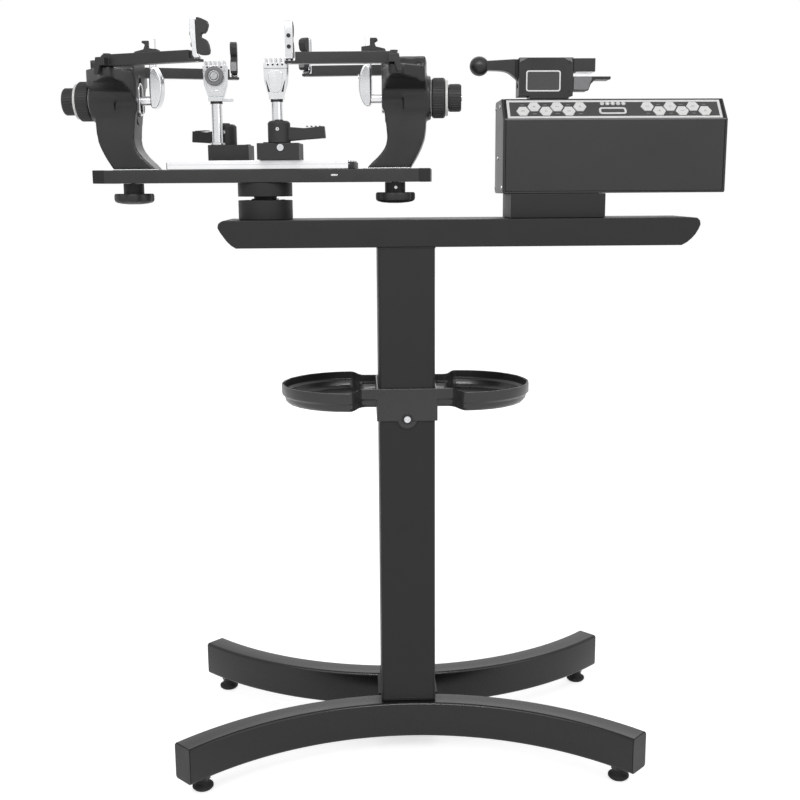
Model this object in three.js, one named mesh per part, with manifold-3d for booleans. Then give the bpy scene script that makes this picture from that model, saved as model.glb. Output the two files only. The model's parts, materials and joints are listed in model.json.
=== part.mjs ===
// Racket stringing machine: a column stand with a beam that carries a racket turntable on the left
// and an electronic tension head on the right. Millimetres, +Z up, +X from the turntable to the
// tension head, -Y towards the user. Every named mesh is one separate piece of the machine.
import * as THREE from 'three';
import { mergeVertices } from 'three/addons/utils/BufferGeometryUtils.js';
import Module from 'manifold-3d';

const wasm = await Module();
wasm.setup();

// Driving dimensions

const gap = {
  seat: 0.3, // between a piece and the piece that it rests on or is bolted to
  running: 0.35, // round a shaft, stud or key, on each side
};
const overrun = 2; // how far a cutting tool goes past the face that it cuts

const base = {
  tubeWidth: 35,
  tubeHeight: 54,
  wall: 2.5,
  endPlate: 3,
  footHeight: 22, // floor to the underside of the tubes
  bendRadius: 438, // of the tube's concave side
  halfAngle: 44.5, // degrees from the middle of a tube to its end
  middleSetback: 69, // from the column axis to the concave side at the middle
  footAngle: 40.6, // degrees from the middle of a tube to a foot
};
const foot = {
  padRadius: 15,
  padHeight: 9,
  padRound: 3,
  neckRadius: 9.5,
  studRadius: 5,
  studLength: 24,
};
const column = {
  width: 80,
  depth: 120,
  corner: 5,
  wall: 3,
  web: 4,
  hubWidth: 90,
  hubWall: 4,
  footPlate: 4,
};
const beam = {
  underside: 752,
  height: 38,
  depth: 120,
  wall: 3,
  // Each end: its top corner from the column axis, its bulge past it, the underside's setback
  left: { reach: 253.5, nose: 7, undercut: 17.5 },
  right: { reach: 406.5, nose: 5.3, undercut: 20.4 },
  cableHoleRadius: 9,
};
const tray = {
  rim: 553,
  wall: 3,
  // The bowl's outer face: inset and drop from the rim, with a lip and a rounded lower edge
  lip: 14,
  lipStep: 3.5,
  roundInset: 13,
  depth: 28.5,
  collarHeight: 47,
  lobeCentre: 82,
  lobeReach: 100,
  lobeHalfDepth: 97,
  neck: 60, // where the lobe leaves the collar's line
  bendShare: 0.55,
  tongueRadius: 14,
  screwHole: 3,
};
const table = {
  axisX: -198,
  restTurn: 5, // degrees that the whole turntable stands turned, right end forwards
  hubRadius: 38.5,
  baseHeight: 27,
  neckRadius: 16.2,
  neckHeight: 4.7,
  hubHeight: 19,
  spindleRadius: 12,
  spindleLength: 24,
  railLength: 470,
  railDepth: 76,
  railHeight: 18,
};
const guide = {
  offset: 27, // of each bar from the turntable axis
  width: 14,
  height: 12,
  leftInset: 104, // from the rail's end
  rightInset: 113,
  endBar: 9,
  endStep: 2.4, // how far the end bars lie below the tops of the guide bars
};
// Places along the rail are from the axis of the post's stud, outwards
const post = {
  endInset: { left: 46, right: 50 }, // of the stud from the rail's end
  footInner: -38.5,
  footOuter: 21,
  waistInner: -9.5,
  headInner: -16.5,
  headOuter: 44,
  height: 134.2,
  halfDepth: 22,
  headShare: 0.6, // height at which the head starts
  bossShare: 0.5,
  crossHeight: 13.5, // of the head's two ends
  crossOuterHalf: 50, // half length of the crossbar's outer edge
  blockHalfLength: 30, // of the raised block between the arms
  blockHeight: 14.5,
  bossRadius: 30,
  bossEnd: 50.5,
  axisHeight: 95.4, // of the wheels' axis above the foot
  pocketHalfDepth: 9,
  pocketHalfHeight: 32,
  pocketDepth: 20,
  studHole: 22,
  travelIn: 10,
  travelOut: 25,
};
const lockKnob = {
  neckRadius: 14.5,
  neckHeight: 14,
  radius: 28.5,
  height: 15,
  dome: 3.5,
  studRadius: 4,
  studReach: 15, // into the post
};
const wheel = {
  armRadius: 26.7,
  armWidth: 18.5,
  armHubRadius: 20,
  collarRadius: 14,
  collarWidth: 4,
  centreRadius: 18.3,
  centreWidth: 18,
  stemRadius: 8,
  faceGap: 1.5, // from the post's boss to the arm wheel's rim
  edge: 1.5,
};
const support = {
  shaftRadius: 6.7,
  shaftEnd: 47,
  plateInner: -49.5,
  plateOuter: -31.5,
  plateBelow: 11.3, // its bottom below the wheels' axis
  plateHeight: 58,
  plateHalfWidth: 11,
  stemInner: -40,
  stemOuter: -32,
  stemHalfWidth: 6,
  stemHeight: 97, // above the plate's bottom
  padInner: -43,
  padOuter: -14,
  padBottom: 70, // above the plate's bottom
  padHeight: 22,
  padHalfWidth: 8,
};
const arm = {
  pivotAlong: 6,
  pivotAcross: 80,
  bossRadius: 10.5,
  width: 14,
  height: 14.6,
  back: 5, // of the root, behind the pivot
  backChamfer: 4,
  hookInner: 12, // the hook's near face, from the pivot
  hookWidth: 5,
  hookLength: 14,
  hookDrop: 11.5,
  hookTip: 6,
  hookLean: 3.5,
  reach: 131.3, // pivot to the end of the bar
  splay: { left: 18, right: 2 }, // degrees from the rail to each arm, at rest
  ledge: 3.5,
  ledgeLength: 14,
};
const cradle = {
  pivotInset: 8, // from the end of the arm's bar
  pinRadius: 3,
  thickness: 10,
  width: 10,
  height: 51,
  reach: 18.5, // of the jaw from the pin
  lean: 2.5,
  // degrees from its arm's direction to each jaw, at rest
  swivel: { front_left: 15, front_right: -90, rear_left: -100, rear_right: 75 },
};
// Places along the rail from the turntable axis; side says which guide bar, 1 is the rear one
const clampPlaces = {
  left: { side: 1, base: -52, post: -68, lever: -61, leverTurn: 147, tab: true },
  right: { side: -1, base: 27.4, post: 22, lever: 28, leverTurn: 0, tab: false },
};
const clampBase = {
  length: 58,
  height: 22.4,
  near: 3.5, // its sides, from the turntable axis
  far: 50,
  postAcross: 12.5,
  leverAcross: 37,
  keelWidth: 9,
  keelDepth: 7,
  socket: 18,
  leverSocket: 14,
};
const camLever = {
  hubRadius: 15.5,
  hubHeight: 29.5,
  handleLength: 64,
  handleWidth: 13,
  handleHeight: 16,
  handleLift: 6,
  edge: 3,
  pinRadius: 4,
};
const stringClamp = {
  postRadius: 7.6,
  stemLength: 66, // from the clamp base to the head
  headHeight: 42.6,
  halfTop: 16.5,
  halfBottom: 10,
  jawThickness: 7,
  jawGap: 1.2,
  toothHeight: 6.5,
  toothWidth: 2.2,
  toothRoot: 5,
  toothCount: 5,
  toothPitch: 6.6,
  screwRadius: 12.5,
  screwHeight: 3.5,
  screwRise: 28, // of the adjusting screw above the bottom of the head
  tabLength: 13,
  tabHeight: 4,
  seatHeight: 6,
};
const pedestal = {
  height: 34.2,
  left: 147,
  right: 280,
  halfDepth: 45,
  wall: 4,
};
const housing = {
  left: 136,
  right: 447,
  height: 129.5,
  panelRise: 30, // from the panel's lower edge to the top
  halfDepth: 45,
  topSetback: 26, // from the front face to the panel's upper edge
  sheet: 2.5,
  cover: 2,
  slotHalfWidth: 9,
  slotLeft: 170,
  slotRight: 386,
};
const panel = {
  thickness: 3,
  edge: 2.6, // strip of the cover left round the panel
  windowLength: 39,
  windowHeight: 13,
  windowRecess: 0.8,
  windowAlong: -2.5, // from the middle of the panel, along the machine
  windowDrop: 3, // below the middle of the panel
};
const key = {
  radius: 9.3, // centre to corner
  pitch: 16,
  stagger: 8.3,
  proud: 1.1,
  depth: 6,
  groupCentre: { left: -88, right: 86.5 }, // from the middle of the panel
  perSide: 6,
};
const gripper = {
  left: 160,
  length: 76,
  sole: 4, // thickness of the foot between the housing and the cheeks
  height: 52,
  halfDepth: 16,
  slotHalfWidth: 6,
  slotFloor: 12, // above the underside of the cheeks
  footInset: 16,
  footLength: 46,
  footHalfDepth: 8.5,
  soleReach: 8.5,
  stemLength: 24, // from the top of the housing down to the nut
  nutBelow: 16, // under the lead screw's axis
  nutHalfDepth: 17,
  lowerJawReach: 22, // past the cheeks
  lowerJawDrop: 25.5, // its top below the top of the cheeks
  lowerJawHeight: 19,
  tongueReach: 53,
};
const lever = {
  pivotInset: 26, // from the left end of the cheeks
  pivotDrop: 14, // below their top
  camRadius: 10,
  ballReach: 54, // past the cheeks
  ballDrop: 10,
  ballRadius: 13.6,
  neckThickness: 12,
  webGap: 2.3, // under the lever's web, in its slot
  armHalfWidth: 8.5, // outside the cheeks
  armInset: 4, // from the cheeks to the wide part
  topStep: 1,
};
const jaw = {
  mouth: 6.5, // open height between the jaws
  height: 18,
  reach: 31, // past the cheeks
  halfDepth: 15,
  innerReach: 38, // of its tongue between the cheeks
  bodyGap: 0.6,
};
const drive = {
  screwRadius: 6,
  screwRise: 59.5, // above the underside of the housing
  screwInset: 55, // its right end from the housing's
  bearingWidth: 10,
  bearingHalfDepth: 12,
  motorLength: 44,
  motorHalfWidth: 21,
  motorFootHalfWidth: 15,
  couplingGap: 2,
};
const facets = { ring: 144, large: 36, medium: 24, small: 14, corner: 3 };

// Heights and places that follow from the driving dimensions

const tubeTop = base.footHeight + base.tubeHeight;
const beamTop = beam.underside + beam.height;
const tableBaseTop = beamTop + gap.seat + table.baseHeight;
const tableHubBottom = tableBaseTop + gap.seat + table.neckHeight;
const railBottom = tableHubBottom + table.hubHeight + gap.seat;
const railTop = railBottom + table.railHeight;
const guideBottom = railTop + gap.seat;
const guideTop = guideBottom + guide.height;
const postBottom = railTop + gap.seat;
const postTop = postBottom + post.height;
const wheelAxisZ = postBottom + post.axisHeight;
const armBottom = postTop + gap.seat;
const armTop = armBottom + arm.height;
const clampBaseBottom = guideTop + gap.seat;
const clampBaseTop = clampBaseBottom + clampBase.height;
const headBottom = clampBaseTop + stringClamp.stemLength;
const headTop = headBottom + stringClamp.headHeight;
const postPlaces = {
  left: table.railLength / 2 - post.endInset.left,
  right: table.railLength / 2 - post.endInset.right,
};
const supportBottom = wheelAxisZ - support.plateBelow;
const supportTop = supportBottom + support.plateHeight;
const padBottom = supportBottom + support.padBottom;
const housingBottom = beamTop + pedestal.height + gap.seat;
const housingTop = housingBottom + housing.height;
const screwZ = housingBottom + drive.screwRise;
const screwRight = housing.right - drive.screwInset;
const gripperRight = gripper.left + gripper.length;
const gripperBottom = housingTop + gripper.sole;
const gripperTop = gripperBottom + gripper.height;
const lowerJawTop = gripperTop - gripper.lowerJawDrop;
const jawBottom = lowerJawTop + jaw.mouth;
const jawTop = jawBottom + jaw.height;
const panelFoot = housingTop - housing.panelRise;
const panelAngle = Math.atan2(housing.panelRise, housing.topSetback);
const panelLength = Math.hypot(housing.panelRise, housing.topSetback);
const panelHalfLength = (housing.right - housing.left) / 2 - housing.sheet - gap.seat - panel.edge;
const leverHalfWidth = gripper.slotHalfWidth - gap.running;
const bendCentreY = base.middleSetback + base.bendRadius;
const sides = [['left', -1], ['right', 1]];
const rows = [['front', -1], ['rear', 1]];

// Finishes

function metal(name, color, roughness, metalness) {
  return new THREE.MeshStandardMaterial({ name, color, roughness, metalness });
}

const finish = {
  paint: metal('black_paint', 0x303032, 0.5, 0.3),
  alloy: metal('black_alloy', 0x38383a, 0.45, 0.6),
  plastic: metal('black_plastic', 0x2a2a2b, 0.6, 0),
  bright: metal('bright_metal', 0xd9dadc, 0.25, 1),
  key: metal('white_key', 0xf1f1ee, 0.4, 0),
  film: metal('panel_film', 0x4a4a4b, 0.4, 0),
  rubber: metal('black_rubber', 0x1f1f20, 0.8, 0),
};

// Solids: each helper gives a closed geometry, and join, cut and meet combine them

function toManifold(geometry) {
  const bare = geometry.clone();
  for (const name of Object.keys(bare.attributes)) {
    if (name !== 'position') bare.deleteAttribute(name);
  }
  const merged = mergeVertices(bare);
  const vertProperties = new Float32Array(merged.attributes.position.array);
  const triVerts = Uint32Array.from(wholeTriangles(merged.index.array));
  if (signedVolume(vertProperties, triVerts) < 0) {
    for (let i = 0; i < triVerts.length; i += 3) {
      [triVerts[i + 1], triVerts[i + 2]] = [triVerts[i + 2], triVerts[i + 1]];
    }
  }
  return new wasm.Manifold(new wasm.Mesh({ numProp: 3, vertProperties, triVerts }));
}

// Triangles with three different corners: a turned shape has flat ones at its poles
function wholeTriangles(index) {
  const kept = [];
  for (let i = 0; i < index.length; i += 3) {
    const [a, b, c] = [index[i], index[i + 1], index[i + 2]];
    if (a !== b && b !== c && c !== a) kept.push(a, b, c);
  }
  return kept;
}

function signedVolume(positions, triangles) {
  const corners = [new THREE.Vector3(), new THREE.Vector3(), new THREE.Vector3()];
  let volume = 0;
  for (let i = 0; i < triangles.length; i += 3) {
    corners.forEach((corner, k) => corner.fromArray(positions, 3 * triangles[i + k]));
    volume += corners[0].dot(corners[1].clone().cross(corners[2]));
  }
  return volume;
}

function toGeometry(manifold) {
  const mesh = manifold.getMesh();
  const geometry = new THREE.BufferGeometry();
  geometry.setAttribute('position', new THREE.BufferAttribute(new Float32Array(mesh.vertProperties), 3));
  geometry.setIndex(new THREE.BufferAttribute(new Uint32Array(mesh.triVerts), 1));
  geometry.computeVertexNormals();
  return geometry;
}

function join(...geometries) {
  return toGeometry(geometries.map(toManifold).reduce((sum, next) => sum.add(next)));
}

function cut(geometry, ...tools) {
  return toGeometry(tools.map(toManifold).reduce((rest, tool) => rest.subtract(tool), toManifold(geometry)));
}

function meet(...geometries) {
  return toGeometry(geometries.map(toManifold).reduce((common, next) => common.intersect(next)));
}

function mirror(geometry, signX, signY = 1) {
  return toGeometry(toManifold(geometry.clone().scale(signX, signY, 1)));
}

// A box between two values on each axis, in either order
function block([x0, x1], [y0, y1], [z0, z1]) {
  const size = [x1 - x0, y1 - y0, z1 - z0].map(Math.abs);
  return new THREE.BoxGeometry(...size).translate((x0 + x1) / 2, (y0 + y1) / 2, (z0 + z1) / 2);
}

const planeTurns = {
  XY: new THREE.Matrix4(),
  XZ: new THREE.Matrix4().makeRotationX(Math.PI / 2),
  YZ: new THREE.Matrix4().makeRotationZ(Math.PI / 2).multiply(new THREE.Matrix4().makeRotationX(Math.PI / 2)),
};

// An outline in the named plane, carried along the third axis from one value to another
function extrude(plane, outline, [from, to], curveSegments = facets.small) {
  const shape = outline instanceof THREE.Shape ? outline : polygon(outline);
  const geometry = new THREE.ExtrudeGeometry(shape, { depth: to - from, bevelEnabled: false, curveSegments });
  geometry.applyMatrix4(planeTurns[plane]);
  if (plane === 'XY') return geometry.translate(0, 0, from);
  if (plane === 'XZ') return geometry.translate(0, to, 0);
  return geometry.translate(from, 0, 0);
}

function polygon(points) {
  return new THREE.Shape(points.map(([a, b]) => new THREE.Vector2(a, b)));
}

// A solid through outlines with equal numbers of points, given from the top down
function loft(sections, curveSegments) {
  const rings = sections.map(([shape, z]) => shape.getPoints(curveSegments).map(({ x, y }) => [x, y, z]));
  const count = rings[0].length;
  const contour = rings[0].map(([x, y]) => new THREE.Vector2(x, y));
  const turn = THREE.ShapeUtils.isClockWise(contour) ? -1 : 1;
  const faces = [];
  const face = (a, b, c) => faces.push(...(turn > 0 ? [a, b, c] : [a, c, b]));
  for (const [a, b, c] of THREE.ShapeUtils.triangulateShape(contour, [])) {
    const base = (rings.length - 1) * count;
    faces.push(a, b, c, base + a, base + c, base + b);
  }
  for (let ring = 0; ring + 1 < rings.length; ring += 1) {
    for (let i = 0; i < count; i += 1) {
      const [top, topNext] = [ring * count + i, ring * count + (i + 1) % count];
      face(top, top + count, topNext);
      face(topNext, top + count, topNext + count);
    }
  }
  const geometry = new THREE.BufferGeometry();
  geometry.setAttribute('position', new THREE.Float32BufferAttribute(rings.flat(2), 3));
  geometry.setIndex(faces);
  return geometry;
}

function smooth(points, steps) {
  const curve = new THREE.SplineCurve(points.map(([a, b]) => new THREE.Vector2(a, b)));
  return curve.getPoints(steps).map((point) => [point.x, point.y]);
}

// A cylinder along one axis between two values, with its centre on the other two axes
function rod(axis, radius, [from, to], [a, b] = [0, 0], facetCount = facets.medium) {
  const geometry = new THREE.CylinderGeometry(radius, radius, to - from, facetCount);
  const middle = (from + to) / 2;
  if (axis === 'X') return geometry.rotateZ(-Math.PI / 2).translate(middle, a, b);
  if (axis === 'Y') return geometry.translate(a, middle, b);
  return geometry.rotateX(Math.PI / 2).translate(a, b, middle);
}

// A turned piece round the Z axis from a closed profile of radius and height
function turned(profile, facetCount = facets.medium) {
  const points = [...profile, profile[0]].map(([r, z]) => new THREE.Vector2(r, z));
  return new THREE.LatheGeometry(points, facetCount).rotateX(Math.PI / 2);
}

function roundedRectangle(halfX, halfY, radius) {
  const shape = new THREE.Shape();
  const corners = [[1, -1], [1, 1], [-1, 1], [-1, -1]];
  corners.forEach(([signX, signY], index) => {
    const start = (index - 1) * Math.PI / 2;
    shape.absarc(signX * (halfX - radius), signY * (halfY - radius), radius, start, start + Math.PI / 2);
  });
  return shape;
}

function ellipse(halfX, halfY) {
  const shape = new THREE.Shape();
  shape.absellipse(0, 0, halfX, halfY, 0, 2 * Math.PI, false, 0);
  return shape;
}

function between(a, b, share) {
  return a + share * (b - a);
}

function radians(degrees) {
  return THREE.MathUtils.degToRad(degrees);
}

function group(parent, x = 0, y = 0, turn = 0) {
  const made = new THREE.Group();
  made.position.set(x, y, 0);
  made.rotation.z = turn;
  parent.add(made);
  return made;
}

function add(parent, name, geometry, material) {
  const mesh = new THREE.Mesh(join(geometry), material);
  mesh.name = name;
  parent.add(mesh);
  return mesh;
}

// Base: two tubes bent as arcs in plan and set back to back, on four levelling feet

function arcBand(innerRadius, outerRadius, halfAngle) {
  const shape = new THREE.Shape();
  const middle = Math.PI / 2;
  shape.absarc(0, 0, outerRadius, middle - halfAngle, middle + halfAngle, false);
  shape.absarc(0, 0, innerRadius, middle + halfAngle, middle - halfAngle, true);
  return shape;
}

// Places of a tube's two feet, from the centre of its bend
function footPlaces() {
  const radius = base.bendRadius + base.tubeWidth / 2;
  const angle = radians(base.footAngle);
  return sides.map(([name, side]) => [name, side * radius * Math.sin(angle), radius * Math.cos(angle)]);
}

function baseTube() {
  const inner = base.bendRadius;
  const outer = inner + base.tubeWidth;
  const outside = extrude('XY', arcBand(inner, outer, radians(base.halfAngle)),
    [base.footHeight, tubeTop], facets.large);
  const inside = extrude('XY',
    arcBand(inner + base.wall, outer - base.wall, radians(base.halfAngle) - base.endPlate / outer),
    [base.footHeight + base.wall, tubeTop - base.wall], facets.large);
  const studHoles = footPlaces().map(([, x, y]) => rod('Z', foot.studRadius + gap.running,
    [base.footHeight - overrun, base.footHeight + base.wall + overrun], [x, y], facets.small));
  return cut(outside, inside, ...studHoles).translate(0, -bendCentreY, 0);
}

function levellingFoot() {
  const neckTop = base.footHeight - gap.seat;
  return turned([
    [0, 0],
    [foot.padRadius - foot.padRound, 0],
    [foot.padRadius, foot.padRound],
    [foot.padRadius, foot.padHeight - foot.padRound],
    [foot.neckRadius, foot.padHeight],
    [foot.neckRadius, neckTop],
    [foot.studRadius, neckTop],
    [foot.studRadius, neckTop + foot.studLength],
    [0, neckTop + foot.studLength],
  ], facets.medium);
}

function buildBase(machine) {
  for (const [rowName, row] of rows) {
    add(machine, `base_tube_${rowName}`, mirror(baseTube(), 1, -row), finish.paint);
    for (const [sideName, x, y] of footPlaces()) {
      const place = group(machine, x, -row * (y - bendCentreY));
      add(place, `foot_${rowName}_${sideName}`, levellingFoot(), finish.rubber);
    }
  }
}

// Column: a tube with a middle web, welded to a hub that stands between the base tubes

function columnTube() {
  const halfX = column.width / 2;
  const halfY = column.depth / 2;
  const plateTop = tubeTop + column.footPlate;
  const hubHalfX = column.hubWidth / 2;
  const hubHalfY = base.middleSetback - base.tubeWidth;
  const tubeOuter = base.bendRadius + base.tubeWidth + gap.seat;
  const body = extrude('XY', roundedRectangle(halfX, halfY, column.corner),
    [tubeTop + gap.seat, beam.underside - gap.seat], facets.corner);
  const core = block([-halfX, halfX], [-hubHalfY, hubHalfY], [tubeTop, plateTop]);
  const hub = block([-hubHalfX, hubHalfX], [-hubHalfY, hubHalfY], [base.footHeight, tubeTop + gap.seat]);
  const tubeRelief = rows.map(([, row]) => rod('Z', tubeOuter,
    [base.footHeight - overrun, tubeTop + gap.seat], [0, row * bendCentreY], facets.ring));
  const chambers = rows.map(([, row]) => block([column.wall - halfX, halfX - column.wall],
    [row * column.web / 2, row * (halfY - column.wall)], [plateTop, beam.underside + overrun]));
  const hollowX = hubHalfX - column.hubWall;
  const hollowY = hubHalfY - column.hubWall;
  const underside = block([-hollowX, hollowX], [-hollowY, hollowY],
    [base.footHeight - overrun, tubeTop - column.footPlate]);
  return cut(join(body, cut(join(core, hub), ...tubeRelief)), ...chambers, underside);
}

// Tool tray: two egg-shaped lobes on a collar round the column

function trayLobe(inset, startX) {
  const neckHalf = column.depth / 2 + gap.seat + tray.wall - inset;
  const halfDepth = tray.lobeHalfDepth - inset;
  const bendX = between(tray.neck, tray.lobeCentre, tray.bendShare);
  const shape = new THREE.Shape();
  shape.moveTo(startX, -neckHalf);
  shape.lineTo(tray.neck, -neckHalf);
  shape.bezierCurveTo(bendX, -neckHalf, bendX, -halfDepth, tray.lobeCentre, -halfDepth);
  shape.absellipse(tray.lobeCentre, 0, tray.lobeReach - inset, halfDepth, -Math.PI / 2, Math.PI / 2, false, 0);
  shape.bezierCurveTo(bendX, halfDepth, bendX, neckHalf, tray.neck, neckHalf);
  shape.lineTo(startX, neckHalf);
  return shape;
}

function toolTray() {
  const fit = gap.seat + tray.wall;
  const collarX = column.width / 2 + fit;
  const collarY = column.depth / 2 + fit;
  const bowl = [
    [0, tray.lip],
    [tray.lipStep, tray.lip + tray.wall],
    [between(tray.lipStep, tray.roundInset, 0.16), between(tray.lip, tray.depth, 0.62)],
    [between(tray.lipStep, tray.roundInset, 0.53), between(tray.lip, tray.depth, 0.9)],
    [tray.roundInset, tray.depth],
  ];
  const lobe = loft([[0, 0], ...bowl].map(([inset, drop]) => [trayLobe(inset, 0), tray.rim - drop]),
    facets.small / 2);
  const pocket = loft([[tray.wall, -overrun], ...bowl.map(([inset, drop]) => [inset + tray.wall, drop - tray.wall])]
    .map(([inset, drop]) => [trayLobe(inset, collarX), tray.rim - drop]), facets.small / 2);
  const collarBottom = tray.rim - tray.collarHeight;
  const collar = block([-collarX, collarX], [-collarY, collarY], [collarBottom, tray.rim]);
  const screwHeight = collarBottom + tray.wall;
  const tongue = rod('Y', tray.tongueRadius, [-collarY, tray.wall - collarY], [0, screwHeight]);
  const screwHole = rod('Y', tray.screwHole, [-collarY - overrun, tray.wall - collarY + overrun],
    [0, screwHeight], facets.small);
  const bore = extrude('XY',
    roundedRectangle(column.width / 2 + gap.seat, column.depth / 2 + gap.seat, column.corner),
    [screwHeight - tray.tongueRadius - overrun, tray.rim + overrun], facets.corner);
  return cut(join(lobe, mirror(lobe, -1), collar, tongue), pocket, mirror(pocket, -1), bore, screwHole);
}

// Beam: a wide flat tube with bull-nosed ends and a web along its middle

function beamEnd({ reach, nose, undercut }, side) {
  const noseShares = [[0, 1], [0.8, 0.9], [1, 0.75], [0.5, 0.58]];
  const underShares = [[0.07, 0.4], [0.33, 0.24], [0.65, 0.1], [1, 0]];
  const points = [
    ...noseShares.map(([out, up]) => [reach + out * nose, up]),
    ...underShares.map(([back, up]) => [reach - back * undercut, up]),
  ];
  return points.map(([x, up]) => [side * x, between(beam.underside, beamTop, up)]);
}

function beamTube() {
  const outline = [...beamEnd(beam.left, -1), ...beamEnd(beam.right, 1).reverse()];
  const outside = extrude('XZ', outline, [-beam.depth / 2, beam.depth / 2]);
  const holeX = (pedestal.left + pedestal.right) / 2;
  const innerEnds = [beam.left.undercut - beam.left.reach, beam.right.reach - beam.right.undercut];
  const tools = rows.flatMap(([, row]) => {
    const near = row * beam.wall;
    const far = row * (beam.depth / 2 - beam.wall);
    const chamber = block(innerEnds, [near, far], [beam.underside + beam.wall, beamTop - beam.wall]);
    const cableHole = rod('Z', beam.cableHoleRadius, [beamTop - beam.wall - overrun, beamTop + overrun],
      [holeX, (near + far) / 2], facets.small);
    return [chamber, cableHole];
  });
  return cut(outside, ...tools);
}

// Turntable: a fixed bearing on the beam, a turning hub with its spindle, a long rail and guide bars

function turntableBase() {
  const bottom = beamTop + gap.seat;
  const boreRadius = table.spindleRadius + gap.running;
  const boreBottom = tableBaseTop - table.spindleLength - overrun;
  return turned([
    [0, bottom],
    [table.hubRadius, bottom],
    [table.hubRadius, tableBaseTop],
    [boreRadius, tableBaseTop],
    [boreRadius, boreBottom],
    [0, boreBottom],
  ], facets.large);
}

function turntableHub() {
  const neckBottom = tableBaseTop + gap.seat;
  const top = tableHubBottom + table.hubHeight;
  return turned([
    [0, tableBaseTop - table.spindleLength],
    [table.spindleRadius, tableBaseTop - table.spindleLength],
    [table.spindleRadius, neckBottom],
    [table.neckRadius, neckBottom],
    [table.neckRadius, tableHubBottom],
    [table.hubRadius, tableHubBottom],
    [table.hubRadius, top],
    [0, top],
  ], facets.large);
}

function turntableRail() {
  const half = table.railLength / 2;
  const bar = block([-half, half], [-table.railDepth / 2, table.railDepth / 2], [railBottom, railTop]);
  const slotHalf = lockKnob.studRadius + gap.running;
  const slots = sides.map(([sideName, side]) => block(
    [side * (postPlaces[sideName] - post.travelIn - slotHalf),
      side * (postPlaces[sideName] + post.travelOut + slotHalf)],
    [-slotHalf, slotHalf], [railBottom - overrun, railTop + overrun]));
  return cut(bar, ...slots);
}

function guideRails() {
  const railHalf = table.railLength / 2;
  const span = [guide.leftInset - railHalf, railHalf - guide.rightInset];
  const bars = rows.map(([, row]) => {
    const middle = row * guide.offset;
    return block(span, [middle - guide.width / 2, middle + guide.width / 2], [guideBottom, guideTop]);
  });
  const endBars = [span[0], span[1] - guide.endBar].map((x) => block([x, x + guide.endBar],
    [-guide.offset, guide.offset], [guideBottom, guideTop - guide.endStep]));
  return join(...bars, ...endBars);
}

// Racket posts: S-shaped castings with a wide head that carries an arm at each end.
// Built for the right end of the rail, with X from the axis of the post's stud.

function postSide() {
  const innerShares = [[0, 0], [0.25, 0.06], [0.6, 0.13], [0.88, 0.21], [1, 0.31]];
  const headShares = [[0.33, 0.49], [0.8, 0.67], [1, 0.82], [1, 1]];
  const outerShares = [[0, 0], [0.18, 0.045], [0.59, 0.165], [0.92, 0.315], [1, 0.47]];
  const inner = [
    ...innerShares.map(([out, up]) => [between(post.footInner, post.waistInner, out), up]),
    ...headShares.map(([back, up]) => [between(post.waistInner, post.headInner, back), up]),
  ];
  const outer = outerShares.map(([out, up]) => [between(post.footOuter, post.headOuter, out), up]);
  const toHeight = ([x, up]) => [x, postBottom + up * post.height];
  const outline = [
    ...smooth(inner.map(toHeight), facets.small),
    [post.headOuter, postTop],
    ...smooth(outer.map(toHeight), facets.small / 2).reverse(),
  ];
  return extrude('XZ', outline, [-arm.pivotAcross - arm.bossRadius, arm.pivotAcross + arm.bossRadius]);
}

// The head seen from above: a crossbar with a round boss under each arm's pivot
function postHead() {
  const angle = Math.PI / 2;
  const outline = new THREE.Shape();
  outline.moveTo(post.headOuter, -post.crossOuterHalf);
  outline.lineTo(post.headOuter, post.crossOuterHalf);
  outline.lineTo(arm.pivotAlong + arm.bossRadius, arm.pivotAcross);
  outline.absarc(arm.pivotAlong, arm.pivotAcross, arm.bossRadius, 0, 2 * angle, false);
  outline.lineTo(post.headInner, post.halfDepth);
  outline.lineTo(post.headInner, -post.halfDepth);
  outline.lineTo(arm.pivotAlong - arm.bossRadius, -arm.pivotAcross);
  outline.absarc(arm.pivotAlong, -arm.pivotAcross, arm.bossRadius, 2 * angle, 4 * angle, false);
  return extrude('XY', outline, [between(postBottom, postTop, post.headShare), postTop], facets.small / 2);
}

// The casting seen from the end of the rail: a straight web that spreads into the crossbar
function postFront() {
  const reach = arm.pivotAcross + arm.bossRadius + overrun;
  const crossBottom = postTop - post.crossHeight;
  const spreadShares = [[0, 0.67], [0.2, 0.79], [0.55, 0.87]];
  const half = [
    [post.halfDepth, postBottom - overrun],
    ...spreadShares.map(([out, up]) => [between(post.halfDepth, reach, out), between(postBottom, postTop, up)]),
    [reach, crossBottom],
    [reach, postTop + overrun],
  ];
  const outline = [...half, ...half.map(([y, z]) => [-y, z]).reverse()];
  return extrude('YZ', outline, [post.footInner - overrun, post.headOuter + overrun]);
}

function racketPost() {
  const web = block([post.footInner - overrun, post.headOuter + overrun], [-post.halfDepth, post.halfDepth],
    [postBottom - overrun, postTop + overrun]);
  const casting = join(meet(postSide(), web), meet(postHead(), postFront()));
  const raised = block([post.headInner, post.headOuter], [-post.blockHalfLength, post.blockHalfLength],
    [postTop - post.crossHeight / 2, postTop + post.blockHeight]);
  const boss = rod('X', post.bossRadius, [between(post.headInner, post.headOuter, post.bossShare), post.bossEnd],
    [0, wheelAxisZ], facets.large);
  const pocket = extrude('YZ', ellipse(post.pocketHalfDepth, post.pocketHalfHeight),
    [post.footInner, post.headInner + post.pocketDepth], facets.medium).translate(0, 0, wheelAxisZ);
  const bore = rod('X', support.shaftRadius + gap.running, [post.footInner, post.bossEnd + overrun],
    [0, wheelAxisZ], facets.small);
  const studHole = rod('Z', lockKnob.studRadius + gap.running,
    [postBottom - overrun, postBottom + post.studHole], [0, 0], facets.small);
  return cut(join(casting, raised, boss), pocket, bore, studHole);
}

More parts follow.
